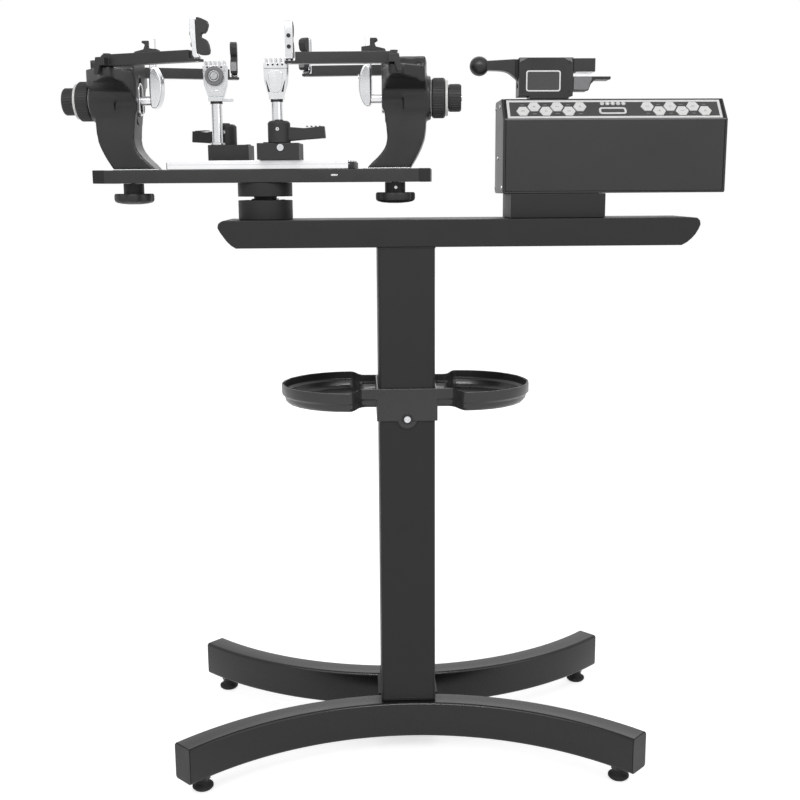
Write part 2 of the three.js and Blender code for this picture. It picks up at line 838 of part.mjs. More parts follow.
function lockKnobPiece() {
  const top = railBottom - gap.seat;
  const shoulder = top - lockKnob.neckHeight;
  const bottom = shoulder - lockKnob.height;
  const studTop = postBottom + lockKnob.studReach;
  return turned([
    [0, bottom],
    [lockKnob.radius / 2, bottom + lockKnob.dome / 4],
    [lockKnob.radius, bottom + lockKnob.dome],
    [lockKnob.radius, shoulder],
    [lockKnob.neckRadius, shoulder],
    [lockKnob.neckRadius, top],
    [lockKnob.studRadius, top],
    [lockKnob.studRadius, studTop],
    [0, studTop],
  ], facets.large);
}

// Wheels on a post: the wide one swings the arms, the small one moves the centre support

function turnedAlongX(profile, facetCount) {
  return turned(profile, facetCount).rotateY(Math.PI / 2).translate(0, 0, wheelAxisZ);
}

function wheelPlaces() {
  const hubStart = post.bossEnd + gap.seat;
  const rimStart = post.bossEnd + wheel.faceGap;
  const rimEnd = rimStart + wheel.armWidth;
  const collarStart = rimEnd + gap.seat;
  const knobStart = collarStart + wheel.collarWidth;
  return { hubStart, rimStart, rimEnd, collarStart, knobStart, knobEnd: knobStart + wheel.centreWidth };
}

function armWheel() {
  const { hubStart, rimStart, rimEnd } = wheelPlaces();
  const bore = wheel.stemRadius + gap.running;
  return turnedAlongX([
    [bore, hubStart],
    [wheel.armHubRadius, hubStart],
    [wheel.armHubRadius, rimStart],
    [wheel.armRadius - wheel.edge, rimStart],
    [wheel.armRadius, rimStart + wheel.edge],
    [wheel.armRadius, rimEnd - wheel.edge],
    [wheel.armRadius - wheel.edge, rimEnd],
    [bore, rimEnd],
  ], facets.large);
}

function centreKnob() {
  const { hubStart, collarStart, knobStart, knobEnd } = wheelPlaces();
  return turnedAlongX([
    [0, hubStart],
    [wheel.stemRadius, hubStart],
    [wheel.stemRadius, collarStart],
    [wheel.collarRadius, collarStart],
    [wheel.collarRadius, knobStart],
    [wheel.centreRadius, knobStart],
    [wheel.centreRadius, knobEnd - wheel.edge],
    [wheel.centreRadius - wheel.edge, knobEnd],
    [0, knobEnd],
  ], facets.medium);
}

// Centre supports: a teardrop bracket on a shaft through the post, its stem and a hooked pad on it

function centreSupport() {
  const plateShares = [
    [1, 0.1], [1, 0.9], [0.62, 1], [0.4, 0.97], [0.1, 0.75], [0, 0.5], [0.1, 0.25], [0.42, 0.03], [0.8, 0],
  ];
  const plateOutline = plateShares.map(([out, up]) => [
    between(support.plateInner, support.plateOuter, out),
    between(supportBottom, supportTop, up),
  ]);
  const plate = extrude('XZ', plateOutline, [-support.plateHalfWidth, support.plateHalfWidth]);
  const shaft = rod('X', support.shaftRadius, [(support.plateInner + support.plateOuter) / 2, support.shaftEnd],
    [0, wheelAxisZ], facets.small);
  const stem = block([support.stemInner, support.stemOuter], [-support.stemHalfWidth, support.stemHalfWidth],
    [supportBottom + support.plateHeight / 2, supportBottom + support.stemHeight]);
  const padShares = [
    [0, 0], [1, 0], [1, 0.24], [0.72, 0.3], [0.66, 0.78], [0.78, 0.86], [0.78, 1], [0.3, 1], [0.3, 0.3], [0, 0.24],
  ];
  const padOutline = padShares.map(([out, up]) => [
    between(support.padInner, support.padOuter, out),
    padBottom + up * support.padHeight,
  ]);
  const pad = extrude('XZ', padOutline, [-support.padHalfWidth, support.padHalfWidth]);
  return join(plate, shaft, stem, pad);
}

// Arms: each turns on a boss of the post's head. Built for the front left one, pivot at the origin.

function armBar() {
  const half = arm.width / 2;
  const hookOuter = arm.hookInner + arm.hookWidth;
  const root = block([-arm.back, arm.hookLength - arm.back], [-hookOuter, half],
    [armBottom, armTop - arm.backChamfer]);
  const hookOutline = [
    [-arm.back, armTop - arm.backChamfer],
    [-arm.back - arm.hookLean, armBottom - arm.hookDrop],
    [arm.hookTip - arm.back - arm.hookLean, armBottom - arm.hookDrop],
    [arm.hookTip - arm.back, armBottom],
    [arm.hookLength - arm.back, armTop - arm.backChamfer],
  ];
  const hook = extrude('XZ', hookOutline, [-hookOuter, -arm.hookInner]);
  const barOutline = [
    [-arm.back, armBottom],
    [arm.reach, armBottom],
    [arm.reach, armTop],
    [arm.backChamfer - arm.back, armTop],
    [-arm.back, armTop - arm.backChamfer],
  ];
  const bar = extrude('XZ', barOutline, [-half, half]);
  const ledge = block([arm.reach - half, arm.reach + arm.ledgeLength], [-half, half],
    [armBottom, armBottom + arm.ledge]);
  const pinHole = rod('Z', cradle.pinRadius + gap.running, [armBottom - overrun, armTop],
    [arm.reach + cradle.pivotInset, 0], facets.small);
  return cut(join(root, hook, bar, ledge), pinHole);
}

// Cradles at the arm tips: a leaning bar with an open jaw that holds the racket's shoulder

function cradlePiece() {
  const bottom = armBottom + arm.ledge + gap.seat;
  const half = cradle.thickness / 2;
  const back = half + cradle.lean;
  const backShares = [[-half, 0.3], [-half, 0], [half, 0]];
  const jawShares = [
    [0.7, 0.08], [1, 0.13], [0.82, 0.41], [0.56, 0.49], [0.38, 0.49], [0.38, 0.6], [0.73, 0.61], [0.93, 0.89],
    [0.33, 0.98],
  ];
  const topShares = [[-half, 1], [-back, 0.92], [-back, 0.6]];
  const outline = [
    ...backShares,
    ...jawShares.map(([out, up]) => [out * cradle.reach, up]),
    ...topShares,
  ].map(([x, up]) => [x, bottom + up * cradle.height]);
  const body = extrude('XZ', outline, [-cradle.width / 2, cradle.width / 2]);
  const pin = rod('Z', cradle.pinRadius, [armBottom, bottom + half], [0, 0], facets.small);
  return join(body, pin);
}

function buildArms(parent, sideName, side) {
  for (const [rowName, row] of rows) {
    const corner = `${rowName}_${sideName}`;
    const swing = -side * row * radians(arm.splay[sideName]);
    const pivot = group(parent, side * arm.pivotAlong, row * arm.pivotAcross, swing);
    add(pivot, `arm_${corner}`, mirror(armBar(), -side, -row), finish.alloy);
    const along = side < 0 ? 0 : Math.PI;
    const pin = group(pivot, -side * (arm.reach + cradle.pivotInset), 0, along + radians(cradle.swivel[corner]));
    add(pin, `shoulder_support_${corner}`, cradlePiece(), finish.bright);
  }
}

// String clamps: a base on the guide bars, its cam lever, and the clamp with its loose jaw

function clampBaseBlock({ side, base: middle, post: postX, lever: leverX }) {
  const half = clampBase.length / 2;
  const span = [middle - half, middle + half];
  const body = block(span, [side * clampBase.near, side * clampBase.far], [clampBaseBottom, clampBaseTop]);
  const keelOuter = guide.offset - guide.width / 2 - gap.running;
  const keel = block(span, [side * (keelOuter - clampBase.keelWidth), side * keelOuter],
    [clampBaseBottom - clampBase.keelDepth, clampBaseBottom + clampBase.keelDepth]);
  const socket = rod('Z', stringClamp.postRadius + gap.running,
    [clampBaseTop - clampBase.socket, clampBaseTop + overrun], [postX, side * clampBase.postAcross]);
  const leverSocket = rod('Z', camLever.pinRadius + gap.running,
    [clampBaseTop - clampBase.leverSocket, clampBaseTop + overrun], [leverX, side * clampBase.leverAcross],
    facets.small);
  return cut(join(body, keel), socket, leverSocket);
}

function camLeverPiece() {
  const bottom = clampBaseTop + gap.seat;
  const top = bottom + camLever.hubHeight;
  const { hubRadius, handleLength, handleHeight, edge } = camLever;
  const hub = turned([
    [0, bottom],
    [hubRadius, bottom],
    [hubRadius, top - edge],
    [hubRadius - edge, top],
    [0, top],
  ]);
  const low = bottom + camLever.handleLift;
  const handleShares = [
    [0, -0.3], [0.55, -0.12], [1, 0], [0.98, 1], [0.55, 0.84], [0.3, 0.92], [0, 1],
  ];
  const outline = handleShares.map(([out, up]) => [out * handleLength, low + up * handleHeight]);
  const handle = extrude('XZ', outline, [-camLever.handleWidth / 2, camLever.handleWidth / 2]);
  const pin = rod('Z', camLever.pinRadius, [clampBaseTop - clampBase.leverSocket + overrun, bottom + edge],
    [0, 0], facets.small);
  return join(hub, handle, pin);
}

function clampHead(bottom, faces) {
  const { halfTop, halfBottom } = stringClamp;
  const sideShares = [[0, 0], [0.85, 0.4], [1, 1]];
  const half = sideShares.map(([out, up]) => [between(halfBottom, halfTop, out), between(bottom, headTop, up)]);
  const outline = [...half, ...half.map(([x, z]) => [-x, z]).reverse()];
  const first = -(stringClamp.toothCount - 1) / 2;
  const teeth = Array.from({ length: stringClamp.toothCount }, (_, index) => {
    const x = (first + index) * stringClamp.toothPitch;
    return block([x - stringClamp.toothWidth / 2, x + stringClamp.toothWidth / 2], faces,
      [headTop - stringClamp.toothRoot, headTop + stringClamp.toothHeight]);
  });
  return join(extrude('XZ', outline, faces), ...teeth);
}

function clampBody({ tab: hasTab }) {
  const { jawGap, jawThickness, halfBottom, seatHeight } = stringClamp;
  const faces = [jawGap / 2, jawGap / 2 + jawThickness];
  const seatBottom = headBottom - seatHeight;
  const seat = block([-halfBottom, halfBottom], [-faces[1], faces[1]], [seatBottom, headBottom]);
  const stem = rod('Z', stringClamp.postRadius,
    [clampBaseTop - clampBase.socket + gap.seat, headBottom - seatHeight / 2]);
  const tab = block([0, halfBottom + stringClamp.tabLength], [faces[0], faces[1]],
    [seatBottom, seatBottom + stringClamp.tabHeight]);
  const backing = block([-halfBottom, halfBottom], faces, [seatBottom, headBottom + seatHeight]);
  const pieces = [clampHead(headBottom, faces), seat, stem, backing];
  return join(...pieces, ...(hasTab ? [tab] : []));
}

function clampJaw() {
  const { jawGap, jawThickness } = stringClamp;
  const faces = [-jawGap / 2 - jawThickness, -jawGap / 2];
  const screw = rod('Y', stringClamp.screwRadius, [faces[0] - stringClamp.screwHeight, faces[0] / 2],
    [0, headBottom + stringClamp.screwRise]);
  return join(clampHead(headBottom + gap.seat, faces), screw);
}

function buildClamps(turntable) {
  for (const [sideName, place] of Object.entries(clampPlaces)) {
    add(turntable, `clamp_base_${sideName}`, clampBaseBlock(place), finish.plastic);
    const leverGroup = group(turntable, place.lever, place.side * clampBase.leverAcross, radians(place.leverTurn));
    add(leverGroup, `clamp_base_lever_${sideName}`, camLeverPiece(), finish.plastic);
    const turn = place.side > 0 ? 0 : Math.PI;
    const clampGroup = group(turntable, place.post, place.side * clampBase.postAcross, turn);
    add(clampGroup, `string_clamp_${sideName}`, clampBody(place), finish.bright);
    add(clampGroup, `string_clamp_jaw_${sideName}`, clampJaw(), finish.bright);
  }
}

function buildTurntable(machine) {
  const onBeam = group(machine, table.axisX);
  add(onBeam, 'turntable_base', turntableBase(), finish.paint);
  const turntable = group(onBeam, 0, 0, -radians(table.restTurn));
  add(turntable, 'turntable_hub', turntableHub(), finish.paint);
  add(turntable, 'turntable_rail', turntableRail(), finish.paint);
  add(turntable, 'guide_rails', guideRails(), finish.bright);
  for (const [sideName, side] of sides) {
    const carriage = group(turntable, side * postPlaces[sideName]);
    add(carriage, `racket_post_${sideName}`, mirror(racketPost(), side), finish.alloy);
    add(carriage, `arm_wheel_${sideName}`, mirror(armWheel(), side), finish.plastic);
    add(carriage, `centre_knob_${sideName}`, mirror(centreKnob(), side), finish.plastic);
    add(carriage, `centre_support_${sideName}`, mirror(centreSupport(), side), finish.bright);
    add(carriage, `lock_knob_${sideName}`, lockKnobPiece(), finish.plastic);
    buildArms(carriage, sideName, side);
  }
  buildClamps(turntable);
}

// Tension head: a pedestal, a chassis with end plates, a bent cover, and the slanted control panel

function pedestalBox() {
  const { left, right, halfDepth, wall } = pedestal;
  const top = housingBottom - gap.seat;
  const outside = block([left, right], [-halfDepth, halfDepth], [beamTop + gap.seat, top]);
  const inside = block([left + wall, right - wall], [wall - halfDepth, halfDepth - wall], [beamTop, top - wall]);
  return cut(outside, inside);
}

// The housing seen from its end, drawn in from its outer faces by an inset
function housingSection(inset) {
  const front = inset - housing.halfDepth;
  const back = housing.halfDepth - inset;
  const top = housingTop - inset;
  const slope = housing.panelRise / housing.topSetback;
  const lengthPerSetback = Math.hypot(1, slope);
  return [
    [front, housingBottom],
    [back, housingBottom],
    [back, top],
    [housing.topSetback - housing.halfDepth + inset * (lengthPerSetback - 1) / slope, top],
    [front, panelFoot - inset * (lengthPerSetback - slope)],
  ];
}

function housingChassis() {
  const { left, right, halfDepth, sheet } = housing;
  const ends = [left, right - sheet].map((x) => extrude('YZ', housingSection(0), [x, x + sheet]));
  const floor = block([left, right], [-halfDepth, halfDepth], [housingBottom, housingBottom + sheet]);
  const bearingEnd = left + sheet + drive.bearingWidth;
  const bearing = block([left, bearingEnd], [-drive.bearingHalfDepth, drive.bearingHalfDepth],
    [housingBottom, screwZ + drive.bearingHalfDepth]);
  const bore = rod('X', drive.screwRadius + gap.running, [left + sheet, bearingEnd + overrun],
    [0, screwZ], facets.medium);
  return cut(join(...ends, floor, bearing), bore);
}

// Places a piece drawn flat, with X along the machine and Y up the slope, on the slanted face
function onPanel(geometry) {
  return geometry.rotateX(panelAngle)
    .translate((housing.left + housing.right) / 2, -housing.halfDepth, panelFoot);
}

function housingCover() {
  const { halfDepth, cover, sheet } = housing;
  const span = [housing.left + sheet + gap.seat, housing.right - sheet - gap.seat];
  const wide = [span[0] - overrun, span[1] + overrun];
  const shell = extrude('YZ', housingSection(0), span);
  const hollow = extrude('YZ', housingSection(cover), wide);
  const below = block(wide, [-halfDepth - overrun, halfDepth + overrun],
    [housingBottom - overrun, housingBottom + sheet + gap.seat]);
  const slot = block([housing.slotLeft, housing.slotRight], [-housing.slotHalfWidth, housing.slotHalfWidth],
    [housingTop - cover - overrun, housingTop + overrun]);
  const windowHalf = panelHalfLength + gap.seat;
  const opening = onPanel(block([-windowHalf, windowHalf],
    [panel.edge - gap.seat, panelLength - panel.edge + gap.seat], [-panel.thickness - overrun, overrun]));
  return cut(shell, hollow, below, slot, opening);
}

// Centres of the keys on the panel, in two groups of six that step up and down
function keyPlaces() {
  const first = -(key.perSide - 1) / 2;
  return sides.flatMap(([sideName, side]) => Array.from({ length: key.perSide }, (_, index) => {
    const up = index % 2 === 0 ? side : -side;
    return {
      name: `key_${sideName}_${index + 1}`,
      x: key.groupCentre[sideName] + (first + index) * key.pitch,
      y: (panelLength + up * key.stagger) / 2,
    };
  }));
}

function hexagon(radius) {
  return Array.from({ length: 6 }, (_, corner) => [
    radius * Math.cos(corner * Math.PI / 3),
    radius * Math.sin(corner * Math.PI / 3),
  ]);
}

function controlPanel() {
  const plate = block([-panelHalfLength, panelHalfLength], [panel.edge, panelLength - panel.edge],
    [-panel.thickness, 0]);
  const keyHoles = keyPlaces().map(({ x, y }) => extrude('XY', hexagon(key.radius + gap.running),
    [-panel.thickness - overrun, overrun]).translate(x, y, 0));
  const displayRecess = extrude('XY',
    roundedRectangle(panel.windowLength / 2, panel.windowHeight / 2, panel.windowHeight / 3),
    [-panel.windowRecess, overrun], facets.corner)
    .translate(panel.windowAlong, panelLength / 2 - panel.windowDrop, 0);
  return onPanel(cut(plate, displayRecess, ...keyHoles));
}

function keyCap({ x, y }) {
  return onPanel(extrude('XY', hexagon(key.radius), [key.proud - key.depth, key.proud]).translate(x, y, 0));
}

// Gripper: a carriage with its nut on the lead screw, a fixed jaw, a moving jaw and a ball lever

function gripperBody() {
  const { left, halfDepth, footHalfDepth } = gripper;
  const foot = [left + gripper.footInset, left + gripper.footInset + gripper.footLength];
  const nutTop = housingTop - gripper.stemLength;
  const cheeks = block([left, gripperRight], [-halfDepth, halfDepth], [gripperBottom, gripperTop]);
  const lowerJawBottom = lowerJawTop - gripper.lowerJawHeight;
  const wedgeX = gripperRight + gripper.lowerJawReach;
  const tongueX = gripperRight + gripper.tongueReach;
  const lowerShares = [[0, 0], [0.1, 0.45], [0.3, 0.79], [1, 0.79], [1, 1]];
  const lowerOutline = [
    [gripperRight - overrun, lowerJawTop],
    [gripperRight - overrun, lowerJawBottom],
    ...lowerShares.map(([out, up]) => [between(wedgeX, tongueX, out), between(lowerJawBottom, lowerJawTop, up)]),
  ];
  const lowerJaw = extrude('XZ', lowerOutline, [-jaw.halfDepth, jaw.halfDepth]);
  const sole = block([foot[0], foot[1] + gripper.soleReach], [-halfDepth, halfDepth],
    [housingTop + gap.seat, gripperBottom + overrun]);
  const stem = block(foot, [-footHalfDepth, footHalfDepth], [nutTop - overrun, gripperBottom + overrun]);
  const nut = block(foot, [-gripper.nutHalfDepth, gripper.nutHalfDepth], [screwZ - gripper.nutBelow, nutTop]);
  const bore = rod('X', drive.screwRadius + gap.running, [foot[0] - overrun, foot[1] + overrun], [0, screwZ]);
  const slotSides = [-gripper.slotHalfWidth, gripper.slotHalfWidth];
  const jawSlot = block([left - overrun, gripperRight + overrun], slotSides, [lowerJawTop, gripperTop + overrun]);
  const leverSlotEnd = left + lever.pivotInset + lever.camRadius + overrun;
  const leverSlot = block([left - overrun, leverSlotEnd], slotSides,
    [gripperBottom + gripper.slotFloor, gripperTop + overrun]);
  return cut(join(cheeks, lowerJaw, sole, stem, nut), bore, jawSlot, leverSlot);
}

function gripperLever() {
  const { ballRadius, camRadius } = lever;
  const half = lever.neckThickness / 2;
  const [ballX, ballZ] = [gripper.left - lever.ballReach, gripperTop - lever.ballDrop];
  const [pivotX, pivotZ] = [gripper.left + lever.pivotInset, gripperTop - lever.pivotDrop];
  const webBottom = gripperBottom + gripper.slotFloor + lever.webGap;
  const top = gripperTop - lever.topStep;
  const curveShares = [[0, 0], [0.5, 0.06], [0.75, 0.3], [0.93, 0.65], [1, 1]];
  const curve = curveShares.map(([out, down]) => [
    between(ballX + ballRadius, gripper.left + overrun, out),
    between(ballZ - half, webBottom, down),
  ]);
  const outline = [
    [ballX, ballZ - half],
    ...smooth(curve, facets.small),
    [pivotX - camRadius / 2, webBottom],
    [pivotX + camRadius, pivotZ - camRadius],
    [pivotX + camRadius, pivotZ + camRadius / 2],
    [pivotX, top],
    [gripper.left, top],
    [ballX, ballZ + half],
  ];
  const plate = extrude('XZ', outline, [-leverHalfWidth, leverHalfWidth]);
  const outside = block([ballX, gripper.left - lever.armInset], [-ballRadius, ballRadius],
    [webBottom - overrun, gripperTop + overrun]);
  const wide = meet(extrude('XZ', outline, [-lever.armHalfWidth, lever.armHalfWidth]), outside);
  const ball = new THREE.SphereGeometry(ballRadius, facets.medium, facets.small).translate(ballX, 0, ballZ);
  return join(plate, wide, ball);
}

function gripperJaw() {
  const right = gripperRight + jaw.reach;
  const head = block([gripperRight + jaw.bodyGap, right], [-jaw.halfDepth, jaw.halfDepth], [jawBottom, jawTop]);
  const tongue = block([gripperRight - jaw.innerReach, right - overrun], [-leverHalfWidth, leverHalfWidth],
    [jawBottom, jawTop]);
  return join(head, tongue);
}

function leadScrew() {
  return rod('X', drive.screwRadius, [housing.left + housing.sheet + gap.seat, screwRight],
    [0, screwZ]);
}

function driveMotor() {
  const start = screwRight + drive.couplingGap;
  const span = [start, start + drive.motorLength];
  const can = block(span, [-drive.motorHalfWidth, drive.motorHalfWidth],
    [screwZ - drive.motorHalfWidth, screwZ + drive.motorHalfWidth]);
  const mountFoot = block([span[0] + overrun, span[1] - overrun],
    [-drive.motorFootHalfWidth, drive.motorFootHalfWidth],
    [housingBottom + housing.sheet + gap.seat, screwZ]);
  return join(can, mountFoot);
}

function buildTensionHead(machine) {
  add(machine, 'tension_pedestal', pedestalBox(), finish.paint);
  add(machine, 'housing_chassis', housingChassis(), finish.paint);
  add(machine, 'housing_cover', housingCover(), finish.paint);
  add(machine, 'control_panel', controlPanel(), finish.film);
  for (const place of keyPlaces()) add(machine, place.name, keyCap(place), finish.key);
  add(machine, 'gripper_body', gripperBody(), finish.alloy);
  add(machine, 'gripper_lever', gripperLever(), finish.alloy);
  add(machine, 'gripper_jaw', gripperJaw(), finish.alloy);
  add(machine, 'lead_screw', leadScrew(), finish.bright);
  add(machine, 'drive_motor', driveMotor(), finish.bright);
}

// The whole machine, with its origin on the floor below the middle of its box

function buildMachine() {
  const machine = new THREE.Group();
  buildBase(machine);
  add(machine, 'column', columnTube(), finish.paint);
  add(machine, 'tool_tray', toolTray(), finish.plastic);
  add(machine, 'beam', beamTube(), finish.paint);
  buildTurntable(machine);
  buildTensionHead(machine);
  const middle = new THREE.Box3().setFromObject(machine, true).getCenter(new THREE.Vector3());
  machine.position.set(-middle.x, -middle.y, 0);
  return machine;
}

export default buildMachine();
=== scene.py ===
"""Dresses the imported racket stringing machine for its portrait.

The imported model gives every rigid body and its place. This script gives the metalwork its rounded
edges, adds the trims that are too small for the solids, makes each finish, and sets the studio.
Sizes are in millimetres in the classes below, and become metres when a mesh is made.
"""
from __future__ import annotations

import json
import logging
import math
from dataclasses import dataclass, replace
from enum import Enum
from typing import Any, Sequence

import bmesh
import bpy
from mathutils import Matrix, Vector

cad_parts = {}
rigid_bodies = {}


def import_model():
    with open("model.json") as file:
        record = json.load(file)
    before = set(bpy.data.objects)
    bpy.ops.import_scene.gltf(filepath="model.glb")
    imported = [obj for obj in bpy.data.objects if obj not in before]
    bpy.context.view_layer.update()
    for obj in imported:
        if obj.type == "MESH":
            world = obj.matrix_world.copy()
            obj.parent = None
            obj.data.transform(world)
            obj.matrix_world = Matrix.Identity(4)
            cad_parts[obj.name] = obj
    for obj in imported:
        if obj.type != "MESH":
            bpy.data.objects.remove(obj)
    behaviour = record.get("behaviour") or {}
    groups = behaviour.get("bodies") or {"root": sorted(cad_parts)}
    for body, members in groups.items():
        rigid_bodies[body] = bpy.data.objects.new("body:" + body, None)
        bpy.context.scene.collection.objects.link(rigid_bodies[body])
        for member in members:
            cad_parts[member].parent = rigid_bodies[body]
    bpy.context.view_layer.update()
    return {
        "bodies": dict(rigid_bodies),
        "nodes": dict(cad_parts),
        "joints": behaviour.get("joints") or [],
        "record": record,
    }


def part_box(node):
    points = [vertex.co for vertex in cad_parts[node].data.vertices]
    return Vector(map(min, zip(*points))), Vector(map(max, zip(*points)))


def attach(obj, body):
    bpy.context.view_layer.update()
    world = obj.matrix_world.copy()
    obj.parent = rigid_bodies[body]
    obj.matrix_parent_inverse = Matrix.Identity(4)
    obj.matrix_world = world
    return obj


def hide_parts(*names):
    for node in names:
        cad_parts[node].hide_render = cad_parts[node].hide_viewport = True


LOG = logging.getLogger("stringing_machine")
MM = 0.001
# edges sharper than this are rounded, or stay sharp where a piece has no rounding
SHARP_ANGLE = math.radians(32.0)

Point = tuple[float, float, float]
Place = tuple[float, float]
Span = tuple[float, float]
Outline = Sequence[Place]


# Finishes


class Grain(Enum):
    """How a surface was made, which sets its fine relief."""

    SPRAYED = "sprayed"
    CAST = "cast"
    MOULDED = "moulded"
    BRUSHED = "brushed"
    PLAIN = "plain"


@dataclass(frozen=True)
class Finish:
    """One real material: its colours, gloss and relief."""

    name: str
    slot: str
    colour: str
    shade: str
    roughness: tuple[float, float]
    metallic: float = 0.0
    grain: Grain = Grain.PLAIN
    grain_mm: float = 1.0
    relief_mm: float = 0.0
    patch_mm: float = 45.0
    coat: float = 0.0
    specular: float = 0.5


class Finishes:
    """The finishes of the machine, each named for what the real one is."""

    # Powder-coated steel: a matt black skin with the soft ripple of sprayed powder
    POWDER_COAT = Finish("powder_coated_steel", "black_paint", "#1c1c1d", "#212122", (0.46, 0.58),
                         grain=Grain.SPRAYED, grain_mm=2.2, relief_mm=0.05, specular=0.32)
    # The same coat on the base tubes, rubbed smoother, so that their bends show a line of light
    GLOSS_COAT = Finish("gloss_powder_coated_steel", "black_paint", "#141415", "#181819", (0.24, 0.3),
                        grain=Grain.SPRAYED, grain_mm=3.0, relief_mm=0.012, specular=0.4)
    # Gloss enamel over bent sheet: smoother than powder, so it shows the lamps a little
    ENAMEL = Finish("enamelled_sheet_steel", "black_paint", "#2f2f30", "#343435", (0.4, 0.5),
                    grain=Grain.SPRAYED, grain_mm=3.0, relief_mm=0.025, patch_mm=90.0, specular=0.35)
    # Die-cast aluminium, painted: the sand-like skin of the mould shows through the paint
    CASTING = Finish("painted_aluminium_casting", "black_alloy", "#1e1e1f", "#242425", (0.32, 0.44),
                     grain=Grain.CAST, grain_mm=1.6, relief_mm=0.06, specular=0.42)
    # Black anodised bar: a dark satin metal with fine lines from the extrusion
    ANODISED = Finish("black_anodised_aluminium", "black_alloy", "#2d2d2e", "#343435", (0.36, 0.48),
                      metallic=0.15, grain=Grain.BRUSHED, grain_mm=0.9, relief_mm=0.012, specular=0.4)
    # Moulded ABS: dull, with an even spark texture
    ABS = Finish("moulded_abs", "black_plastic", "#29292a", "#2e2e2f", (0.46, 0.58),
                 grain=Grain.MOULDED, grain_mm=1.0, relief_mm=0.05, specular=0.35)
    # The tray's ABS is glossier inside, where tools have rubbed it
    TRAY = Finish("glossy_abs", "black_plastic", "#2a2a2b", "#303031", (0.26, 0.36),
                  grain=Grain.MOULDED, grain_mm=1.6, relief_mm=0.02, specular=0.5)
    # Push-on polyethylene caps, a deeper black than the bar that they close
    CAP = Finish("black_polyethylene", "black_plastic", "#161617", "#1b1b1c", (0.4, 0.5),
                 grain=Grain.MOULDED, grain_mm=1.0, relief_mm=0.02, specular=0.3)
    # Light grey painted highlight on the panel's bend and the gripper's chamfers, standing for the light that
    # these edges catch
    RUBBED = Finish("rubbed_enamel", "black_paint", "#8a8a8c", "#77777a", (0.4, 0.5),
                    grain=Grain.SPRAYED, grain_mm=1.5, relief_mm=0.02, patch_mm=20.0)
    # Polished stainless steel: bright, with streaks where the wheel has passed
    POLISHED = Finish("polished_stainless_steel", "bright_metal", "#e2e3e4", "#c6c8cb", (0.2, 0.34),
                      metallic=1.0, grain=Grain.BRUSHED, grain_mm=1.4, relief_mm=0.006, patch_mm=16.0)
    # Natural anodised aluminium: pale satin bar, drawn lengthwise
    SATIN = Finish("satin_anodised_aluminium", "bright_metal", "#ececed", "#d6d7d8", (0.3, 0.42),
                   metallic=1.0, grain=Grain.BRUSHED, grain_mm=1.2, relief_mm=0.02, patch_mm=26.0)
    # Zinc-plated steel of screws and washers
    ZINC = Finish("zinc_plated_steel", "bright_metal", "#dcddde", "#bdbfc2", (0.22, 0.36),
                  metallic=1.0, grain=Grain.BRUSHED, grain_mm=0.6, relief_mm=0.01, patch_mm=6.0)
    # Blackened screws
    BLACK_OXIDE = Finish("black_oxide_steel", "black_alloy", "#1d1d1e", "#28282a", (0.3, 0.42),
                         metallic=0.3, grain=Grain.BRUSHED, grain_mm=0.6, relief_mm=0.01, patch_mm=6.0)
    # Bead-blasted cast steel of the fixed jaw: grey, with the pits of the grit
    BLASTED = Finish("blasted_cast_steel", "black_alloy", "#686869", "#7f7f81", (0.48, 0.62),
                     metallic=0.4, grain=Grain.CAST, grain_mm=1.3, relief_mm=0.09, patch_mm=9.0)
    # Grey enamel of the end plates
    GREY_ENAMEL = Finish("grey_enamelled_steel", "black_paint", "#5d5d5f", "#676769", (0.42, 0.52),
                         grain=Grain.SPRAYED, grain_mm=2.6, relief_mm=0.03, patch_mm=60.0)
    # Polycarbonate keypad film with a fine satin back
    FILM = Finish("polycarbonate_film", "panel_film", "#484849", "#4d4d4e", (0.4, 0.5),
                  grain=Grain.MOULDED, grain_mm=0.8, relief_mm=0.01, specular=0.35)
    # Silicone key caps, moulded white
    KEY = Finish("white_silicone", "white_key", "#fefefd", "#fbfbfa", (0.38, 0.5),
                 grain=Grain.MOULDED, grain_mm=0.8, relief_mm=0.015, patch_mm=8.0)
    # Screen-printed white ink
    INK = Finish("white_ink", "white_key", "#fefefe", "#fcfcfb", (0.45, 0.55), patch_mm=6.0)
    # Grey printed marks of the keys
    MARK = Finish("grey_ink", "panel_film", "#9a9a9b", "#a6a6a7", (0.5, 0.6), patch_mm=4.0)
    # Pale printed signs on the key caps
    SIGN = Finish("pale_grey_ink", "white_key", "#cccccb", "#d4d4d3", (0.5, 0.6), patch_mm=4.0)
    # White nylon washers
    NYLON = Finish("white_nylon", "white_key", "#f5f5f3", "#ebebe9", (0.4, 0.52),
                   grain=Grain.MOULDED, grain_mm=0.9, relief_mm=0.02, patch_mm=12.0)
    # Polyurethane pads that touch the racket: dull, slightly scuffed
    PAD = Finish("polyurethane_pad", "black_rubber", "#3b3b3c", "#474748", (0.6, 0.75),
                 grain=Grain.MOULDED, grain_mm=1.2, relief_mm=0.1, patch_mm=8.0, specular=0.3)
    # Black rubber feet, dusty near the floor
    RUBBER = Finish("black_rubber", "black_rubber", "#242425", "#303031", (0.7, 0.85),
                    grain=Grain.MOULDED, grain_mm=1.5, relief_mm=0.08, patch_mm=14.0, specular=0.3)
    # Acrylic window over the display
    ACRYLIC = Finish("smoked_acrylic", "panel_film", "#2f2f30", "#343435", (0.05, 0.1), coat=0.5)
    # Lamp lenses, clear and unlit
    LENS = Finish("clear_lens", "white_key", "#efefee", "#e4e4e3", (0.1, 0.2), coat=0.5, patch_mm=3.0)


